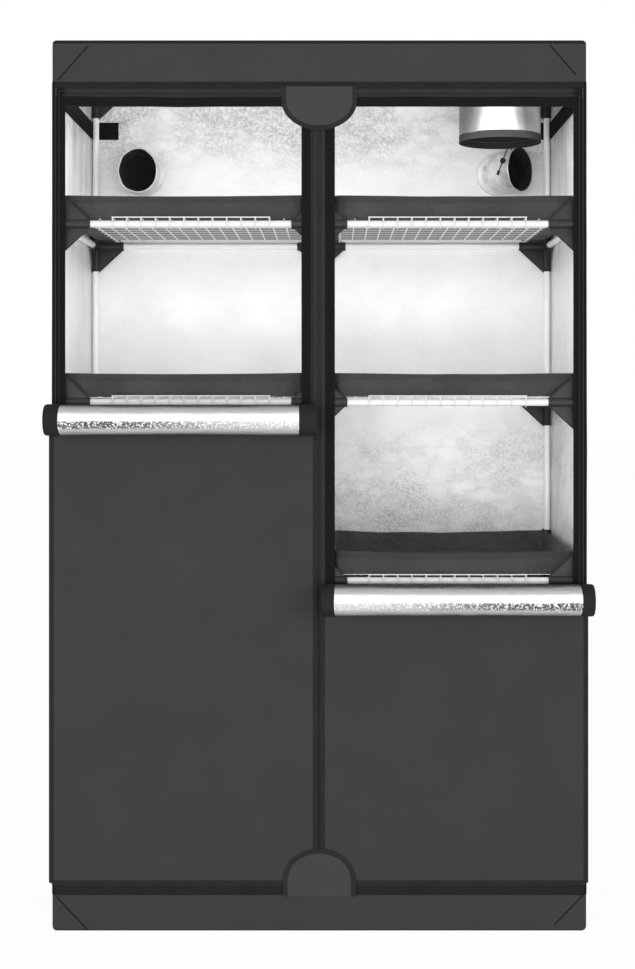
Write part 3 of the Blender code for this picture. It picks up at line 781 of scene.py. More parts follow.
def lining_finish():
    """Bright foil glued to the cloth: nearly smooth in the middle bays, crumpled under the roof and
    in the lowest bay.
    Painted shade darkens its crinkles, slanted folds and upper side walls; the creases' crests are
    painted a little lighter."""
    finish = Finish("lining", {"Specular IOR Level": 0.4, "Metallic": 0.22})
    place = finish.place()
    fine = finish.noise(place, 165.0, 5.0, 0.7)
    soft = finish.noise(place, 7.0, 3.0, 0.55)
    slanted = finish.node("Mapping", {}, {"Vector": place, "Rotation": (0, 0.5, 0),
                                          "Scale": (7.0, 12.0, 15.0)})
    lines = finish.number("ABSOLUTE", finish.noise(slanted, 1.0, 4.0, 0.6) - 0.5)
    hanging = finish.node("Mapping", {}, {"Vector": place, "Scale": (1.0, 26.0, 2.2)})
    drape_shade = finish.ramp(finish.noise(hanging, 1.0, 3.0, 0.6), 0.46, 0.62)
    creases = finish.noise(place, 16.0, 5.0, 0.62)
    split = finish.axes(place)
    height = split.output("Z")
    crumple = finish.ramp(height, 1.74, 1.90) + finish.ramp(height, 1.17, 1.02) * 0.8 + 0.14
    speck = finish.ramp(fine, 0.54, 0.45)
    patches = finish.ramp(soft, 0.36, 0.60)
    fold = finish.ramp(lines, 0.075, 0.0)
    on_side = finish.ramp(finish.number("ABSOLUTE", split), 0.584, 0.590)
    upper_shade = finish.ramp(height, 1.45, 1.72) * 0.85 + 0.15
    # Painted shade: dark specks in the crinkles, dark slanted fold lines, and hanging streaks high
    # on the side walls.
    share = ((speck * patches * 0.34 + patches * 0.10 + fold * 0.15) * crumple
             + on_side * upper_shade * drape_shade * 0.26)
    # Painted highlight: the foil is a little lighter where the creases rise.
    white = finish.mix(creases, shade(240), shade(252))
    finish.set("Base Color", finish.mix(share, white, shade(150)))
    finish.set("Roughness", soft * 0.2 + 0.32)
    first = finish.bump(creases * crumple, 0.006)
    finish.set("Normal", finish.bump(fine * crumple, 0.0014, first))
    return finish


lining = lining_finish()
tent_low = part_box("floor_tub")[0]
tent_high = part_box("roof_cap")[1]
corner = 0.011
wall_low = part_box("left_wall")[0].z
wall_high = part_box("left_wall")[1].z
side_bow = 0.0045
back_bow = 0.004
edge_zone = 0.97
wall_ripple = 0.0012
cutter_reach = 0.03
hole_margin = 0.0005


def swell(place):
    """How far the frame pushes the skin out, largest in the middle of each wall."""
    rise = (place.z - wall_low) / (wall_high - wall_low)
    lift = arch(rise)
    across = (place.x - tent_low.x) / (tent_high.x - tent_low.x)
    along = (place.y - tent_low.y) / (tent_high.y - tent_low.y)
    side = 2 * across - 1
    if abs(side) > edge_zone:
        place.x += math.copysign(side_bow, side) * lift * (0.3 + 0.7 * arch(along))
    if along > edge_zone:
        place.y += back_bow * lift * arch(across)
    ripple = noise.noise(place * 7) * wall_ripple * lift
    place.x += math.copysign(ripple, side) if abs(side) > edge_zone else 0
    place.y += ripple if along > edge_zone else 0


def lid(low, high, open_side):
    """An open box of cloth with rounded corners: a tub, or a cap where it opens downward."""
    made = box(low, high)
    edit(made, lambda face: face.normal.z * open_side > 0.5,
         (bpy.ops.mesh.delete, {"type": "ONLY_FACE"}))
    rim = low.z if open_side < 0 else high.z

    def on_rim(edge):
        return all(abs(made.data.vertices[n].co.z - rim) < 0.001 for n in edge.vertices)

    edit(made, lambda edge: not on_rim(edge),
         (bpy.ops.mesh.bevel, {"offset": corner, "segments": 5, "affect": "EDGES"}), part="edges")
    edit(made, lambda face: True, (bpy.ops.mesh.subdivide, {"number_cuts": 6}))
    return made


def lined(piece, name):
    """Gives a sheet its thickness, cloth outside and foil inside."""
    wear(piece, skin_cloth, lining)
    change(piece, "SOLIDIFY", thickness=cloth_thickness, offset=-1, material_offset=1)
    piece.name = piece.data.name = name
    return smooth(lay_weave(piece))


def port_hole(piece, port, way, radius):
    """Cuts a round hole through a skin for a duct sleeve."""
    reach = Vector(way) * cutter_reach
    cutter = rod(port - reach, port + reach, radius - hole_margin, 64)
    change(piece, "BOOLEAN", object=cutter, operation="DIFFERENCE", solver="EXACT")
    bpy.data.objects.remove(cutter)
    lay_weave(piece)


cap_low, cap_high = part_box("roof_cap")
cap = lid(cap_low, cap_high, -1)
roof_sag = 0.004
sag_depth = 0.02
for vertex in cap.data.vertices:
    spot = vertex.co
    depth = max(0, 1 - abs(spot.z - cap_high.z) / sag_depth)
    u = (spot.x - cap_low.x) / (cap_high.x - cap_low.x)
    v = (spot.y - cap_low.y) / (cap_high.y - cap_low.y)
    spot.z -= roof_sag * arch(u) * arch(v) * depth
lined(cap, "roof_skin")
roof_port = Vector((0.436, 0.038375, 1.999))
roof_radius = 0.099
port_hole(cap, roof_port, (0, 0, 1), roof_radius)
tub = lid(*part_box("floor_tub"), 1)
lined(tub, "tub_skin")
for piece, node in ((cap, "roof_cap"), (tub, "floor_tub")):
    low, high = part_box(node)
    belongs(piece, node)
    "floor_rails" if node == "floor_tub" else "top_rails"


def cloth_grid(name, columns, rows, shape, flat, from_edge=False):
    """A grid of cloth whose points go where shape(u, v) says, with a UV map in metres. With
    from_edge the map's first value is the distance from the nearer long edge."""
    bpy.ops.mesh.primitive_grid_add(x_subdivisions=columns, y_subdivisions=rows, size=1)
    made = bpy.context.object
    made.name = made.data.name = name
    layer = made.data.uv_layers[0]
    layer.name = "weave"
    for corner_uv in layer.data:
        u, v = corner_uv.uv
        corner_uv.uv = ((min(u, 1 - u) if from_edge else u) * flat[0], v * flat[1])
    for vertex in made.data.vertices:
        vertex.co = Vector(shape(vertex.co.x + 0.5, vertex.co.y + 0.5))
    return made


def weld(piece, gap=0.00001):
    """Merges the points where the ends of a sheet meet."""
    edit(piece, lambda vertex: True, (bpy.ops.mesh.remove_doubles, {"threshold": gap}),
         part="vertices")


def facing(piece, way):
    """Turns an open sheet so that its faces look along a direction, on the whole."""
    total = sum((face.normal * face.area for face in piece.data.polygons), Vector())
    if total.dot(Vector(way)) < 0:
        piece.data.flip_normals()
    return piece


corner_columns = 5
wall_columns = 34


def side_shape(sign):
    """The line of a side wall from its front corner round to its back corner."""
    def shape(u, v):
        column = u * wall_columns
        if column <= corner_columns:
            a = math.pi / 2 * column / corner_columns
            x = tent_high.x - corner + corner * math.sin(a)
            y = tent_low.y + corner - corner * math.cos(a)
        elif column >= wall_columns - corner_columns:
            a = math.pi / 2 * (column - wall_columns + corner_columns) / corner_columns
            x = tent_high.x - corner + corner * math.cos(a)
            y = tent_high.y - corner + corner * math.sin(a)
        else:
            part = (column - corner_columns) / (wall_columns - 2 * corner_columns)
            x = tent_high.x
            y = tent_low.y + corner + part * (tent_high.y - tent_low.y - 2 * corner)
        place = Vector((x, y, wall_low + v * (wall_high - wall_low)))
        swell(place)
        place.x *= sign
        return place
    return shape


for side, sign in (("left", -1), ("right", 1)):
    wall = facing(cloth_grid("wall", wall_columns, 60, side_shape(sign), (1, 1)), (sign, 0, 0))
    lined(wall, f"{side}_skin")
    belongs(wall, f"{side}_wall")


back_low, back_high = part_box("back_wall")


def back_shape(u, v):
    place = Vector((back_low.x + u * (back_high.x - back_low.x), back_high.y,
                    back_low.z + v * (back_high.z - back_low.z)))
    swell(place)
    return place


back = facing(cloth_grid("back", 60, 80, back_shape, (1, 1)), (0, 1, 0))
lined(back, "back_skin")
rear_radius = 0.056
left_port = Vector((-0.466, 0.3375, 1.777))
right_port = Vector((0.462, 0.3375, 1.777))
for port in (left_port, right_port):
    port_hole(back, port, (0, 1, 0), rear_radius)
belongs(back, "back_wall")


# The front surround
# Strips of dark cloth sewn together make the frame round the two doorways. Black tape binds
# the doorways and the seams with cap and tub, and piping runs along the tent's outer edges.
surround_low, surround_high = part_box("front_surround")
front_y = surround_low.y
doorway_inner = 0.0375
doorway_outer = 0.5695
doorway_bottom = 0.121
doorway_top = 1.850
tape_thickness = 0.0007
surround_cloth = woven("surround_cloth", 42)
side_cloth = woven("side_strip_cloth", 26)
black_tape = stitched("black_tape", 25)
seam_binding = stitched("seam_binding", 37)


def ribbon(name, points, width, outward, finish, thickness=tape_thickness, closed=False, waves=0.0):
    """A flat tape along a line of points, with its outer face looking outward."""
    points = [Vector(point) for point in points]
    ways = [Vector(outward(point)) if callable(outward) else Vector(outward) for point in points]
    count = len(points)
    steps = count if closed else count - 1
    sides = []
    for n, point in enumerate(points):
        runs = []
        if closed or n:
            runs.append((point - points[n - 1]).normalized())
        if closed or n < count - 1:
            runs.append((points[(n + 1) % count] - point).normalized())
        along = sum(runs, Vector()).normalized()
        sides.append(along.cross(ways[n]).normalized() * width / 2 / max(0.5, runs[0].dot(along)))
    length = sum((points[(n + 1) % count] - points[n]).length for n in range(steps))

    def shape(u, v):
        n = round(v * steps) % count
        drift = Vector((0, 0, waves * noise.noise(points[n] * 8))) if waves else Vector()
        return points[n] + sides[n] * (2 * u - 1) + drift * (1 if u in (0.0, 1.0) else 0.5)

    made = cloth_grid(name, 4, steps, shape, (width, length), from_edge=True)
    if closed:
        weld(made)
    change(made, "SOLIDIFY", thickness=thickness, offset=1)
    soften(made, thickness * 0.3)
    return smooth(wear(made, finish))


def fixed_tape(*arguments, **settings):
    """A tape sewn to the tent's body."""
    made = ribbon(*arguments, **settings)
    belongs(made)
    return made


def between(start, end, spacing=0.03):
    """Evenly spaced points along a straight line."""
    start = Vector(start)
    end = Vector(end)
    count = max(1, round((end - start).length / spacing))
    return [start.lerp(end, step / count) for step in range(count + 1)]


def foil_inside(piece):
    """Gives the faces that look into the tent the second finish, the lining."""
    for face in piece.data.polygons:
        face.material_index = 1 if face.normal.y > 0.5 else 0


def flat_strip(name, left, right, low, high, cloth):
    """A strip of the front's cloth, lined with foil and hung flat between its seams."""
    def shape(u, v):
        return (left + u * (right - left), surround_high.y, low + v * (high - low))
    made = facing(cloth_grid(name, 6, 40, shape, (right - left, high - low)), (0, -1, 0))
    wear(made, cloth, lining)
    change(made, "SOLIDIFY", thickness=surround_high.y - surround_low.y, offset=1)
    foil_inside(made)
    smooth(made)
    belongs(made)
    high - low
    return made


column_x = -0.0025
column = flat_strip("front_column", column_x - doorway_inner, column_x + doorway_inner,
                    doorway_bottom, doorway_top, surround_cloth)
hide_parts("front_surround")
bottom, top = surround_low.z, surround_high.z
flat_strip("front_header", -doorway_outer, doorway_outer, doorway_top, top, surround_cloth)
flat_strip("front_sill", -doorway_outer, doorway_outer, bottom, doorway_bottom, surround_cloth)
flat_strip("front_side_left", surround_low.x, -doorway_outer, bottom, top, side_cloth)
flat_strip("front_side_right", doorway_outer, surround_high.x, bottom, top, side_cloth)
inner_tape = 0.021
top_tape = 0.0215
outer_tape = 0.0213
forward = (0, -1, 0)
for side, sign in (("left", -1), ("right", 1)):
    inner_x = column_x + sign * (doorway_inner - inner_tape / 2)
    outer_x = sign * (doorway_outer + outer_tape / 2)
    for edge, x, width in (("inner", inner_x, inner_tape), ("outer", outer_x, outer_tape)):
        ends = [(x, front_y, height) for height in (doorway_bottom, doorway_top)]
        fixed_tape(f"doorway_tape_{edge}_{side}", between(*ends), width, forward, black_tape)
    ends = [(sign * x, front_y, doorway_top + top_tape / 2)
            for x in (doorway_inner - inner_tape, doorway_outer + outer_tape)]
    fixed_tape(f"doorway_tape_top_{side}", between(*ends), top_tape, forward, black_tape,
               waves=0.0025)


def body_outline(height, grow=0.0):
    """Points round the tent's body at a height, with rounded corners."""
    points = []
    for x, y, start in ((1, 1, 0), (-1, 1, 90), (-1, -1, 180), (1, -1, 270)):
        centre_y = (tent_high if y > 0 else tent_low).y - y * corner
        centre = Vector((x * (tent_high.x - corner), centre_y, height))
        for step in range(6):
            angle = math.radians(start + 18 * step)
            points.append(centre + Vector((math.cos(angle), math.sin(angle), 0)) * (corner + grow))
    return points


def way_out(point):
    """The direction straight out of the tent's body at a point on its outline."""
    x = min(max(point.x, tent_low.x + corner), tent_high.x - corner)
    y = min(max(point.y, tent_low.y + corner), tent_high.y - corner)
    return (point.x - x, point.y - y, 0)


for name, height, width in (("roof_seam_tape", 1.8988, 0.0138), ("tub_seam_tape", 0.0926, 0.0200)):
    fixed_tape(name, body_outline(height), width, way_out, seam_binding, closed=True)
piping = 0.0075
side_piping = 0.0056
edge_cords = [("roof_piping", body_outline(tent_high.z - piping, -piping), piping, True),
              ("tub_piping", body_outline(tent_low.z + piping, -piping), piping * 0.85, True)]
for side, sign in (("left", -1), ("right", 1)):
    x = sign * (tent_high.x - side_piping)
    ends = [(x, tent_low.y + side_piping, height) for height in (surround_low.z, surround_high.z)]
    edge_cords.append((f"corner_piping_{side}", between(*ends), side_piping, False))
for name, line, radius, closed in edge_cords:
    cord = wear(wire(name, line, radius, cyclic=closed), seam_binding if closed else black_tape)
    belongs(cord)
back_seam_width = 0.022
back_seam_stand = 0.0026
back_seam_ends = [(x, back_high.y - back_seam_stand, 1.9085) for x in (0.527, -0.527)]
back_seam = ribbon("back_seam_facing", between(*back_seam_ends), back_seam_width, forward, lining,
                   0.0005, waves=0.003)
belongs(back_seam)
seam_tape = stitched("seam_tape", 28, inset=0.0012)
seam_width = 0.0030
corner_seams = {
    "roof": ((-0.5858, 1.9098), (-0.5186, 1.9861), (0.5173, 1.9880), (0.5756, 1.9210)),
    "tub": ((-0.5903, 0.0802), (-0.5186, 0.0035), (0.5263, 0.0152), (0.5913, 0.0825)),
}
for place, (a, b, c, d) in corner_seams.items():
    for number, (start, end) in enumerate(((a, b), (c, d))):
        ends = [(x, front_y, z) for x, z in (start, end)]
        fixed_tape(f"{place}_corner_seam_{number + 1}", between(*ends, 0.015), seam_width, forward,
                   seam_tape, thickness=0.0005)


# The door zips
# Each door has a zip sewn in an upside-down U along both sides and over its top, a coil
# between two bands of tape. Its two sliders run with the edge of the rolled door.
zip_inner = 0.0085
zip_outer = 0.583
zip_top = 1.885
zip_width = 0.010
zip_stand = 0.0009
coil_radius = 0.0007
coil_stand = 0.0004
slider_plate = 0.0022
slider_foot = 0.002
slider_corner = 0.0028
bridge_half = 0.0011
pull_half = 0.0022
pull_plate = 0.0012


def coil_finish():
    finish = Finish("zip_coil", {"Roughness": 0.5})
    place = finish.place()
    turns = finish.node("TexWave", {"bands_direction": "Z"}, {"Vector": place, "Scale": 190.0})
    finish.tint(turns, 16, 38)
    finish.set("Normal", finish.bump(turns, 0.0003))
    return finish


zip_cloth = stitched("zip_cloth", 48, 0.0010, 0.0022)
# The zip tape is black: it is painted lighter everywhere but on the doors' outer runs, a painted
# sheen.
from_column = zip_cloth.number("ABSOLUTE", zip_cloth.axes(zip_cloth.place()))
outer_run = zip_cloth.ramp(from_column, 0.560, 0.575)
zip_cloth.set("Base Color", zip_cloth.mix(outer_run, zip_cloth.colour, shade(26)))
zip_coil = coil_finish()
slider_metal = moulded("slider_coat", 30, 0.35)
for side, sign in (("left", -1), ("right", 1)):
    corners = ((zip_inner, doorway_bottom), (zip_inner, zip_top), (zip_outer, zip_top),
               (zip_outer, doorway_bottom))
    a, b, c, d = [Vector((sign * x, front_y - zip_stand, z)) for x, z in corners]
    line = [*between(a, b)[:-1], *between(b, c)[:-1], *between(c, d)]
    if sign > 0:
        line.reverse()
    tape = fixed_tape(f"zip_tape_{side}", line, zip_width, forward, zip_cloth)
    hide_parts(f"{side}_zip")
    coil_line = [p + Vector((0, -coil_stand, 0)) for p in line]
    coil = wire(f"zip_coil_{side}", coil_line, coil_radius, 2)
    belongs(wear(coil, zip_coil))
    for place in ("inner", "outer"):
        low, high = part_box(f"{side}_zip_slider_{place}")
        middle = (low + high) / 2
        body = box((low.x, high.y - slider_plate, low.z + slider_foot), high)
        edit(body, lambda edge: abs(body.data.vertices[edge.vertices[0]].co.y
                                    - body.data.vertices[edge.vertices[1]].co.y) > 0.001,
             (bpy.ops.mesh.bevel, {"offset": slider_corner, "segments": 4, "affect": "EDGES"}),
             part="edges")
        bridge = box((middle.x - bridge_half, low.y + 0.0010, middle.z - slider_foot),
                     (middle.x + bridge_half, high.y - 0.0020, high.z - 0.001))
        pull = box((middle.x - pull_half, low.y, low.z),
                   (middle.x + pull_half, low.y + pull_plate, middle.z + slider_foot))
        slider = joined(f"zip_slider_{side}_{place}", [body, bridge, pull])
        soften(slider, 0.0004)
        smooth(wear(slider, slider_metal))
        belongs(slider, f"{side}_zip_slider_{place}", f"{side}_sliders")


# The half-round flaps
# A lined flap covers the zips' ends at the top and at the bottom of the column. Each is a
# half-round piece of cloth with a wide band of tape bound round its edge.
flap_cloth = woven("flap_cloth", 65)
flap_tape = stitched("flap_tape", 45)
flap_binding = 0.0105
flap_binding_stand = 0.0012
straight_share = 0.33
flap_fill = 0.87
flap_steps = 28
tip_lift = 0.0012


def flap_edge(half, height, turn, base, inset=0.0):
    """The flap's edge from one end of its straight side to the other, as (x, z) points."""
    points = []
    for step in range(5):
        points.append((-half + inset, base + turn * straight_share * height * step / 5))
    for step in range(flap_steps + 1):
        angle = math.pi * (1 - step / flap_steps)
        reach = height * (1 - straight_share) - inset
        points.append(((half - inset) * math.cos(angle),
                       base + turn * (straight_share * height + reach * math.sin(angle))))
    points += [(-x, z) for x, z in reversed(points[:5])]
    return points


for name, turn, bulge in (("upper_flap", -1, 0.0022), ("lower_flap", 1, 0.0016)):
    low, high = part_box(name)
    half = high.x
    base = high.z if turn < 0 else low.z
    height = high.z - low.z
    edge = flap_edge(half, height, turn, base)
    centre = Vector((0, 0, base + turn * height * 0.45))

    def lift(x, z):
        """How far the flap stands off: most at its middle, and a little at its tip."""
        v = abs(z - base) / height
        return bulge * arch(v) * (1 - (x / half) ** 2) + tip_lift * v ** 2

    ring = [Vector((x, 0, z)) for x, z in edge]
    ring.append(ring[0])

    def shape(u, v):
        n = u * (len(ring) - 1)
        spot = centre.lerp(ring[round(n)], v)
        spot.y = high.y - lift(spot.x, spot.z)
        return spot

    flap = cloth_grid(name + "_cloth", len(ring) - 1, 10, shape, (1, 1))
    weld(flap, 0.00005)
    facing(flap, forward)
    change(flap, "SOLIDIFY", thickness=cloth_thickness, offset=1)
    lay_weave(smooth(wear(flap, flap_cloth)))
    inner_edge = flap_edge(half, height, turn, base, flap_binding / 2)
    line = [Vector((x, high.y - lift(x, z) - flap_binding_stand, z)) for x, z in inner_edge]
    if turn < 0:
        line.reverse()
    binding = ribbon(name + "_binding", line, flap_binding, forward, flap_tape)
    belongs(flap, name, body=name)
    belongs(binding, body=name)
    flap_fill * 2 * half * height


# The duct sleeves
# Foil tubes are sewn round the two ports in the back wall and the one in the roof. They are
# black inside, hemmed at their mouths, and each port is shut by gathered black cloth.
def crinkled_foil():
    """Crinkled reflective lining: fine pebbles over longer soft creases, with painted glints at its
    sparkle specks and painted light and shade along the creases.
    """
    finish = Finish("sleeve_foil", {"Specular IOR Level": 0.6, "Metallic": 0.6})
    place = finish.place()
    pebbles = finish.pebbles(place, 150.0, 0.8)
    fine = finish.noise(place, 70.0, 4.0, 0.6)
    creases = finish.noise(place, 13.0, 5.0, 0.65)
    broad = finish.ramp(finish.noise(place, 5.0, 2.0, 0.5), 0.42, 0.62)
    sparkle = finish.ramp(fine, 0.44, 0.64)
    # Painted glints: the colour is lighter at the sparkle specks, and a little lighter on the
    # creases' crests; the broad patches are random tone.
    tone = broad * 0.45 + sparkle * 0.4 + creases * 0.15
    finish.tint(tone, 202, 248)
    finish.set("Roughness", sparkle * 0.12 + 0.32)
    second = finish.bump(fine, 0.00132, finish.bump(creases, 0.0072))
    finish.set("Normal", finish.bump(pebbles, 0.00048, second))
    return finish


sleeve_foil = crinkled_foil()
hem_tape = stitched("hem_tape", 62)


def painted_reflection_foil(name, middle, reach):
    """Smooth foil on a round tube, painted with a broad white band and greyer sides: a painted
    reflection, set by the place across the tube.
    """
    finish = Finish(name, {"Specular IOR Level": 0.5, "Metallic": 0.25, "Roughness": 0.3})
    place = finish.place()
    creases = finish.noise(place, 14.0, 4.0, 0.6)
    fine = finish.noise(place, 80.0, 4.0, 0.6)
    split = finish.axes(place)
    flare = (split.output("Z") - 1.87) * 2.2
    across = (split - middle) / (2 * reach)
    spread = across + across * flare + (creases - 0.5) * 0.10 + 0.5
    # Painted reflection: the shades of the white band and grey sides, from one side of the tube to
    # the other.
    stops = [(0.0, 95), (0.11, 118), (0.19, 158), (0.27, 236), (0.33, 248), (0.61, 250),
             (0.68, 176), (0.77, 128), (0.85, 160), (0.93, 196), (1.0, 140)]
    finish.set("Base Color", finish.shades(spread, stops))
    finish.set("Normal", finish.bump(fine, 0.0008, finish.bump(creases, 0.004)))
    return finish


sleeve_inside = woven("sleeve_inside", 36)
sleeve_thickness = 0.0011
rear_length = 0.118
bend_turn = math.radians(48)
neck_rate = 16
neck_shift = 0.012


def sleeve(name, axis, radius_at, sides, rings, flat, outer_finish):
    """A tube of foil round an axis: axis(v) gives its middle and its two cross directions."""
    def shape(u, v):
        middle, across, upward = axis(v)
        angle = 2 * math.pi * u
        r = radius_at(angle, v)
        return middle + across * r[0] * math.cos(angle) + upward * r[1] * math.sin(angle)
    made = cloth_grid(name, sides, rings, shape, flat)
    weld(made)
    start, _, _ = axis(0)
    face = made.data.polygons[0]
    if face.normal.dot(face.center - start) < 0:
        made.data.flip_normals()
    wear(made, outer_finish, sleeve_inside)
    change(made, "SOLIDIFY", thickness=sleeve_thickness, offset=-1, material_offset=1)
    return smooth(made)


def ruffled(radius, squeeze=(1.0, 1.0), ruffles=9, depth=0.0016, mouth=0.93, neck=0.0):
    """The radius of a soft tube: round at the wall, rippled along it, drawn in at the mouth,
    and by a share at its neck, just off the wall. Squeeze is how wide and how tall its mouth is."""
    def radius_at(angle, v):
        ripple = depth * math.sin(ruffles * angle + 3 * math.sin(5 * v)) * math.sin(math.pi * v)
        spot = Vector((math.cos(angle) * 2.4, math.sin(angle) * 2.4, v * 5))
        crease = depth * 1.2 * noise.noise(spot)
        pull = 1 + (mouth - 1) * v ** 3
        waist = neck * min(1, v * neck_rate) * (1 - v) ** 2
        base = radius * (pull - waist) + ripple + crease * min(1, v * 4)
        return (base * (1 + (squeeze[0] - 1) * v), base * (1 + (squeeze[1] - 1) * v))
    return radius_at


def left_axis(v):
    sag = 0.004 * math.sin(math.pi / 2 * v) ** 2
    return left_port + Vector((0, -rear_length * v, -sag)), Vector((1, 0, 0)), Vector((0, 0, 1))


def right_axis(v):
    bend = rear_length / bend_turn
    angle = bend_turn * v
    shift = neck_shift * (1 - v) * min(1, v * neck_rate)
    middle = right_port + Vector((shift + bend * (1 - math.cos(angle)), -bend * math.sin(angle), 0))
    return middle, Vector((math.cos(angle), math.sin(angle), 0)), Vector((0, 0, 1))


roof_bottom = 1.813
roof_seam = 1.8302


def roof_axis(top, length):
    """A straight axis down from the roof's port."""
    def axis(v):
        middle = Vector((roof_port.x, roof_port.y, top - length * v))
        return middle, Vector((1, 0, 0)), Vector((0, 1, 0))
    return axis


# The roof sleeve's bright band and grey sides are a painted reflection.
roof_foil = painted_reflection_foil("roof_sleeve_painted_reflection", roof_port.x, roof_radius)
around = 2 * math.pi
rear_flat = (around * rear_radius, rear_length)
roof_length = roof_port.z - roof_seam
hem_length = roof_seam - roof_bottom
hem_drop = 0.0012
hem_outer = roof_radius + 0.0004
neck_length = 0.007
mouth_place = 0.985
mouth_stand = 0.0004
mouth_hem = 0.0019
rear_closure_radius = 0.0553
roof_closure_radius = 0.0983
pleats = 17
pleat_depth = 0.0015
knot_rise = 0.006
sleeves = [
    ("rear_duct_left", left_axis, ruffled(rear_radius, (0.93, 1.07), neck=0.24), 48, 32,
     rear_flat, "rear_sleeve_left", sleeve_foil),
    ("rear_duct_right", right_axis, ruffled(rear_radius, (0.99, 1.04), mouth=0.98, neck=0.26),
     48, 32, rear_flat, "rear_sleeve_right", sleeve_foil),
    ("roof_duct", roof_axis(roof_port.z, roof_length),
     ruffled(roof_radius, (1, 1), 7, 0.0012, 0.995), 72, 18,
     (around * roof_radius, roof_length), "roof_sleeve", roof_foil),
    ("roof_duct_hem", roof_axis(roof_seam + hem_drop, hem_length),
     lambda angle, v: (hem_outer, hem_outer), 72, 3,
     (around * roof_radius, hem_length), "roof_sleeve_hem", hem_tape),
]
for name, axis, radius_at, sides, rings, flat, node, outer in sleeves:
    piece = sleeve(name, axis, radius_at, sides, rings, flat, outer)
    if "rear" in name:
        piece.data.materials.append(lining.material)
        for face in piece.data.polygons:
            if face.material_index == 0 and face.center.y > left_port.y - neck_length:
                face.material_index = 2
    belongs(piece, node)
    "roof_skin" if "roof" in name else "back_skin"
for name, axis, radius_at, *_ in sleeves[:2]:
    middle, across, upward = axis(mouth_place)
    ring = []
    for step in range(48):
        angle = around * step / 48
        wide, tall = (r + mouth_stand for r in radius_at(angle, mouth_place))
        ring.append(middle + across * wide * math.cos(angle) + upward * tall * math.sin(angle))
    hem = wire(name + "_hem", ring, mouth_hem, cyclic=True)
    belongs(wear(hem, sleeve_foil))


def gathered_disc(name, middle, normal, radius, node):
    """Cloth drawn together over a port: pleats that run in to a small knot."""
    normal = Vector(normal)
    across = Vector((1, 0, 0))
    upward = normal.cross(across)

    def shape(u, v):
        angle = around * u
        reach = radius * v
        pleat = pleat_depth * math.sin(pleats * angle + 1.5 * math.sin(3 * angle)) * v * (1 - v) * 3
        cone = knot_rise * (1 - v) ** 2
        around_it = across * math.cos(angle) + upward * math.sin(angle)
        return middle + around_it * reach + normal * (cone + pleat)

    made = cloth_grid(name, 136, 10, shape, (1, 1))
    weld(made)
    facing(made, normal)
    change(made, "SOLIDIFY", thickness=0.0010, offset=0)
    smooth(lay_weave(wear(made, sleeve_inside)))
    belongs(made, node)


for place, port in (("left", left_port), ("right", right_port)):
    gathered_disc(f"port_closure_{place}", port, (0, 1, 0), rear_closure_radius,
                  f"rear_closure_{place}")
gathered_disc("port_closure_roof", roof_port, (0, 0, 1), roof_closure_radius, "roof_closure")


# The inner bands
# Wide black webbing is sewn along the top of each side wall, inside, and turns on to the
# back wall, where its end is folded square.
band_thickness = 0.001
band_rise = 0.005
band_turn = 0.005
webbing = stitched("black_band", 24, 0.0024, 0.0030)
for side, sign in (("left", -1), ("right", 1)):
    low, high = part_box(f"{side}_band")
    height = (low.z + high.z) / 2 + band_rise
    wall_x = max(abs(low.x), abs(high.x))
    wall_y = high.y
    turn_in = min(abs(low.x), abs(high.x)) - band_turn
    bend = 0.010
    line = between((sign * wall_x, low.y, height), (sign * wall_x, wall_y - bend, height))
    for step in range(1, 6):
        angle = math.pi / 2 * step / 5
        line.append(Vector((sign * (wall_x - bend + bend * math.cos(angle)),
                            wall_y - bend + bend * math.sin(angle), height)))
    line += between((sign * (wall_x - bend), wall_y, height), (sign * turn_in, wall_y, height))[1:]

    def inward(point):
        if point.y < wall_y - bend:
            return (-sign, 0, 0)
        if abs(point.x) > wall_x - bend:
            return (sign * (wall_x - bend) - point.x, wall_y - bend - point.y, 0)
        return (0, -1, 0)

    band = ribbon(f"{side}_webbing", line, high.z - low.z, inward, webbing, band_thickness)
    belongs(band, f"{side}_band")


# The doors
# Each door is a panel of dark cloth lined with foil, bound with black tape and sewn on at its
# bottom. Its upper part is rolled down towards the front, foil outside, and its ends are bound.
door_cloth = woven("door_cloth", 59)
door_tape = stitched("door_tape", 43)
door_binding = 0.0105
panel_bottom = 0.106
panel_overlap = 0.004
billow_low = 0.20
billow_end = 0.05


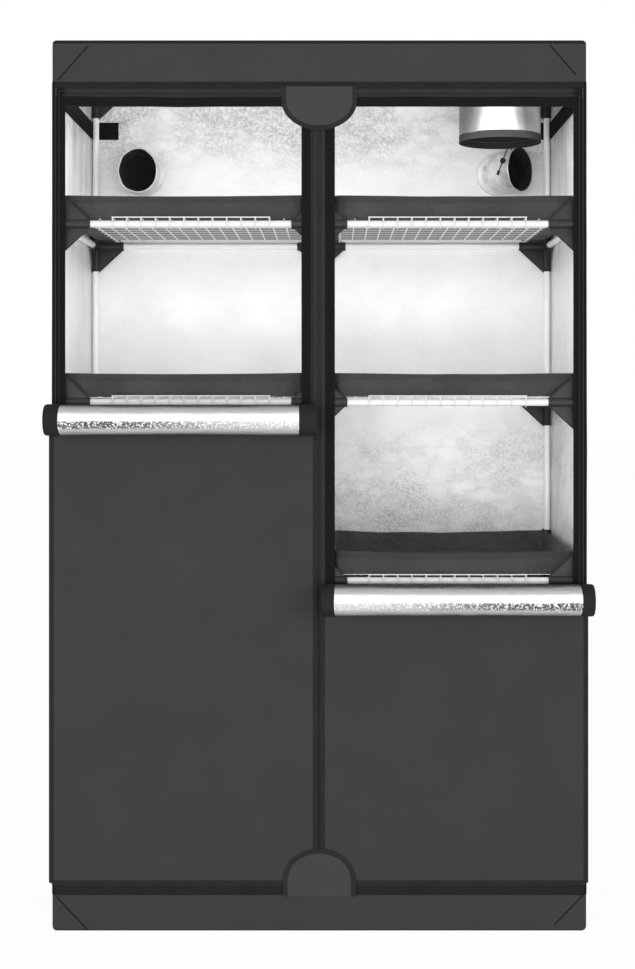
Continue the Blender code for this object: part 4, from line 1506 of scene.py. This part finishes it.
def painted_reflection_roll_finish(height):
    """Crinkled reflective film, painted with bands of light and shade that run along the roll: a
    painted reflection, set by the height round the roll's axis. One painted band is broken into
    dark specks, most of all towards the roll's outer end."""
    finish = Finish(f"roll_foil_painted_reflection_{round(height * 1000)}",
                    {"Specular IOR Level": 0.3, "Metallic": 0.2})
    place = finish.place()
    fine = finish.noise(place, 215.0, 4.0, 0.7)
    stretch = finish.node("Mapping", {}, {"Vector": place, "Scale": (14.0, 60.0, 60.0)})
    creases = finish.noise(stretch, 1.0, 4.0, 0.6)
    pebbles = finish.pebbles(place, 170.0, 0.6)
    sparkle = finish.ramp(fine, 0.50, 0.56)
    split = finish.axes(place)
    along = finish.number("ABSOLUTE", split)
    off_middle = (along - 0.30) * 3.4
    waist = 1.10 - off_middle * off_middle * 0.10
    rise = split.output("Z") - height
    wobble = (creases - 0.5) * 0.007 + (fine - 0.5) * 0.006
    level = (rise * waist + wobble) / (2 * roll_radius) + 0.5
    # Painted reflection: bands of light and shade by the height round the roll's axis.
    stops = [(0.0, 40), (0.06, 70), (0.09, 150), (0.15, 186), (0.23, 202), (0.29, 240), (0.50, 250),
             (0.72, 250), (0.755, 202), (0.90, 178), (0.94, 125), (0.97, 70)]
    bands = finish.shades(level, stops)
    # The painted dark band of the reflection, broken by bright painted glints.
    painted_dark_band = finish.ramp(level, 0.51, 0.45) * finish.ramp(level, 0.21, 0.28)
    outer = finish.ramp(along, 0.04, 0.46)
    speck = finish.mix(outer, shade(190), shade(46))
    tone = finish.mix(painted_dark_band * (1 - sparkle) * (outer * 0.4 + 0.6), bands, speck)
    finish.set("Base Color", finish.mix((1 - sparkle) * 0.12, tone, shade(176)))
    finish.set("Roughness", sparkle * 0.15 + 0.40)
    first = finish.bump(creases, 0.003)
    finish.set("Normal", finish.bump(pebbles, 0.0005, finish.bump(fine, 0.0012, first)))
    return finish


roll_radius = 0.0378
roll_core = 0.012
roll_axis_y = -0.303125
sheet_share = 0.76
middle_count = 70
foil_step = 0.0011
end_drop = 0.0030
end_round = 0.007
crinkle_depth = 0.0005
seam_drift = 0.0035
seam_reach = 0.032
end_steps = [0, 0.0015, 0.004, 0.007, 0.012, 0.02]
end_seam = (-0.004, -0.001, 0.001, 0.004)
flap_clear = 0.09
billow = 0.0038
panel_thickness = 0.0015
binding_stand = 0.0014
corner_cut = 0.006
for side, sign, outer_edge, inner_edge, height, rolled, cap_inner, cap_outer in (
        ("left", -1, 0.6055, 0.004, 1.147, 0.743, 0.041, 0.036),
        ("right", 1, 0.6025, 0.002, 0.748, 1.142, 0.032, 0.031)):
    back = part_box(f"{side}_door_panel")[1].y
    top = height + panel_overlap
    width = outer_edge - inner_edge

    def panel_y(x, z):
        rise = (z - billow_low) / (top - billow_end - billow_low)
        u = (abs(x) - flap_clear) / (outer_edge - flap_clear)
        wave = 0.5 + 0.5 * noise.noise(Vector((x * 2.2, 0, z * 3.1 + sign)))
        return back - billow * arch(rise) * arch(u) * wave

    def panel_shape(u, v):
        x = sign * (inner_edge + u * width)
        z = panel_bottom + v * (top - panel_bottom)
        round_off = max(0, (u - 0.985) / 0.015) * max(0, 1 - v / 0.012)
        return (x, panel_y(x, z), z + round_off * corner_cut)

    panel = facing(cloth_grid("panel", 44, 70, panel_shape, (width, top - panel_bottom)), forward)
    wear(panel, door_cloth, lining)
    change(panel, "SOLIDIFY", thickness=panel_thickness, offset=1, material_offset=0)
    foil_inside(panel)
    half = door_binding / 2
    inner_x, outer_x, low_z = inner_edge + half, outer_edge - half, panel_bottom + half
    corners = [(inner_x, 0, top), (inner_x, 0, low_z), (outer_x - corner_cut, 0, low_z),
               (outer_x, 0, low_z + corner_cut), (outer_x, 0, top)]
    line = [p for start, end in zip(corners, corners[1:]) for p in between(start, end, 0.02)[:-1]]
    line.append(Vector(corners[-1]))
    line = [Vector((sign * p.x, panel_y(sign * p.x, p.z) - binding_stand, p.z)) for p in line]
    if sign > 0:
        line.reverse()
    binding = ribbon("binding", line, door_binding, forward, door_tape)
    for piece, ending, slot in ((panel, "cloth", "oxford_cloth"),
                                (binding, "binding", "black_webbing")):
        smooth(piece)
        piece.name = piece.data.name = f"{side}_door_{ending}"
        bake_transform(piece)
    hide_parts(f"{side}_door_panel")
    top - panel_bottom

    axis = Vector((0, roll_axis_y, height))
    low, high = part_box(f"{side}_door_roll")
    ends = sorted((abs(low.x), abs(high.x)))
    turns = rolled / (math.pi * (roll_radius + roll_core))
    pitch = (roll_radius - roll_core) / turns
    sheet = pitch * sheet_share
    places = end_steps + [cap_inner + step for step in end_seam]
    outer_places = end_steps + [cap_outer + step for step in end_seam]
    first = ends[0] + places[-1]
    last = ends[1] - outer_places[-1]
    xs = [ends[0] + p for p in places]
    xs += [first + (last - first) * n / middle_count for n in range(1, middle_count)]
    xs += [ends[1] - p for p in reversed(outer_places)]

    def cap_share(x):
        """1 in the bound ends of the roll and 0 in its foil."""
        inner = (x - ends[0] - cap_inner) / 0.001
        outer = (ends[1] - x - cap_outer) / 0.001
        return 1 - min(1, max(0, (min(inner, outer) + 1) / 2))

    def edge_drift(x, facing_share):
        """How far the seam of a bound end bows along the roll."""
        near = min(x - ends[0], ends[1] - x)
        return seam_drift * facing_share * math.exp(-((near - seam_reach) / 0.012) ** 2)

    def bound(spot):
        """Whether a place on the roll is in one of its bound ends."""
        x = abs(spot.x)
        out = Vector((spot.y - axis.y, spot.z - axis.z)).normalized()
        drift = edge_drift(x, out.x)
        if x < (ends[0] + ends[1]) / 2:
            return x - drift - ends[0] < cap_inner + 0.0015
        return ends[1] - x - drift < cap_outer + 0.0015

    def roll_shape(u, v):
        x = xs[round(u * (len(xs) - 1))]
        angle = 2 * math.pi * turns * v
        r = roll_radius - pitch * angle / (2 * math.pi)
        r -= foil_step * (1 - cap_share(x))
        near = min(x - ends[0], ends[1] - x)
        r -= end_drop * max(0, 1 - near / end_round) ** 2
        crinkle = noise.noise(Vector((x * 26, math.cos(angle) * 1.7, math.sin(angle) * 1.7 + sign)))
        r += crinkle_depth * crinkle
        drift = edge_drift(x, math.cos(angle))
        x += drift if x < (ends[0] + ends[1]) / 2 else -drift
        return (sign * x, axis.y + r * math.cos(angle), axis.z + r * math.sin(angle))

    roll = cloth_grid(f"{side}_roll_cloth", len(xs) - 1, round(turns * 24), roll_shape,
                      (ends[1] - ends[0], rolled))
    face = roll.data.polygons[len(roll.data.polygons) // 2 - len(xs) // 2]
    outside = Vector((0, face.center.y - axis.y, face.center.z - axis.z))
    if face.normal.dot(outside) < 0:
        roll.data.flip_normals()
    wear(roll, painted_reflection_roll_finish(height), door_cloth, door_tape)
    change(roll, "SOLIDIFY", thickness=sheet, offset=-1, material_offset=1)
    soften(roll, sheet * 0.3, 1.1)
    for face in roll.data.polygons:
        if bound(face.center):
            face.material_index = 2
    smooth(roll)
    belongs(roll, f"{side}_door_roll", f"{side}_roll")
    ends[1] - ends[0]
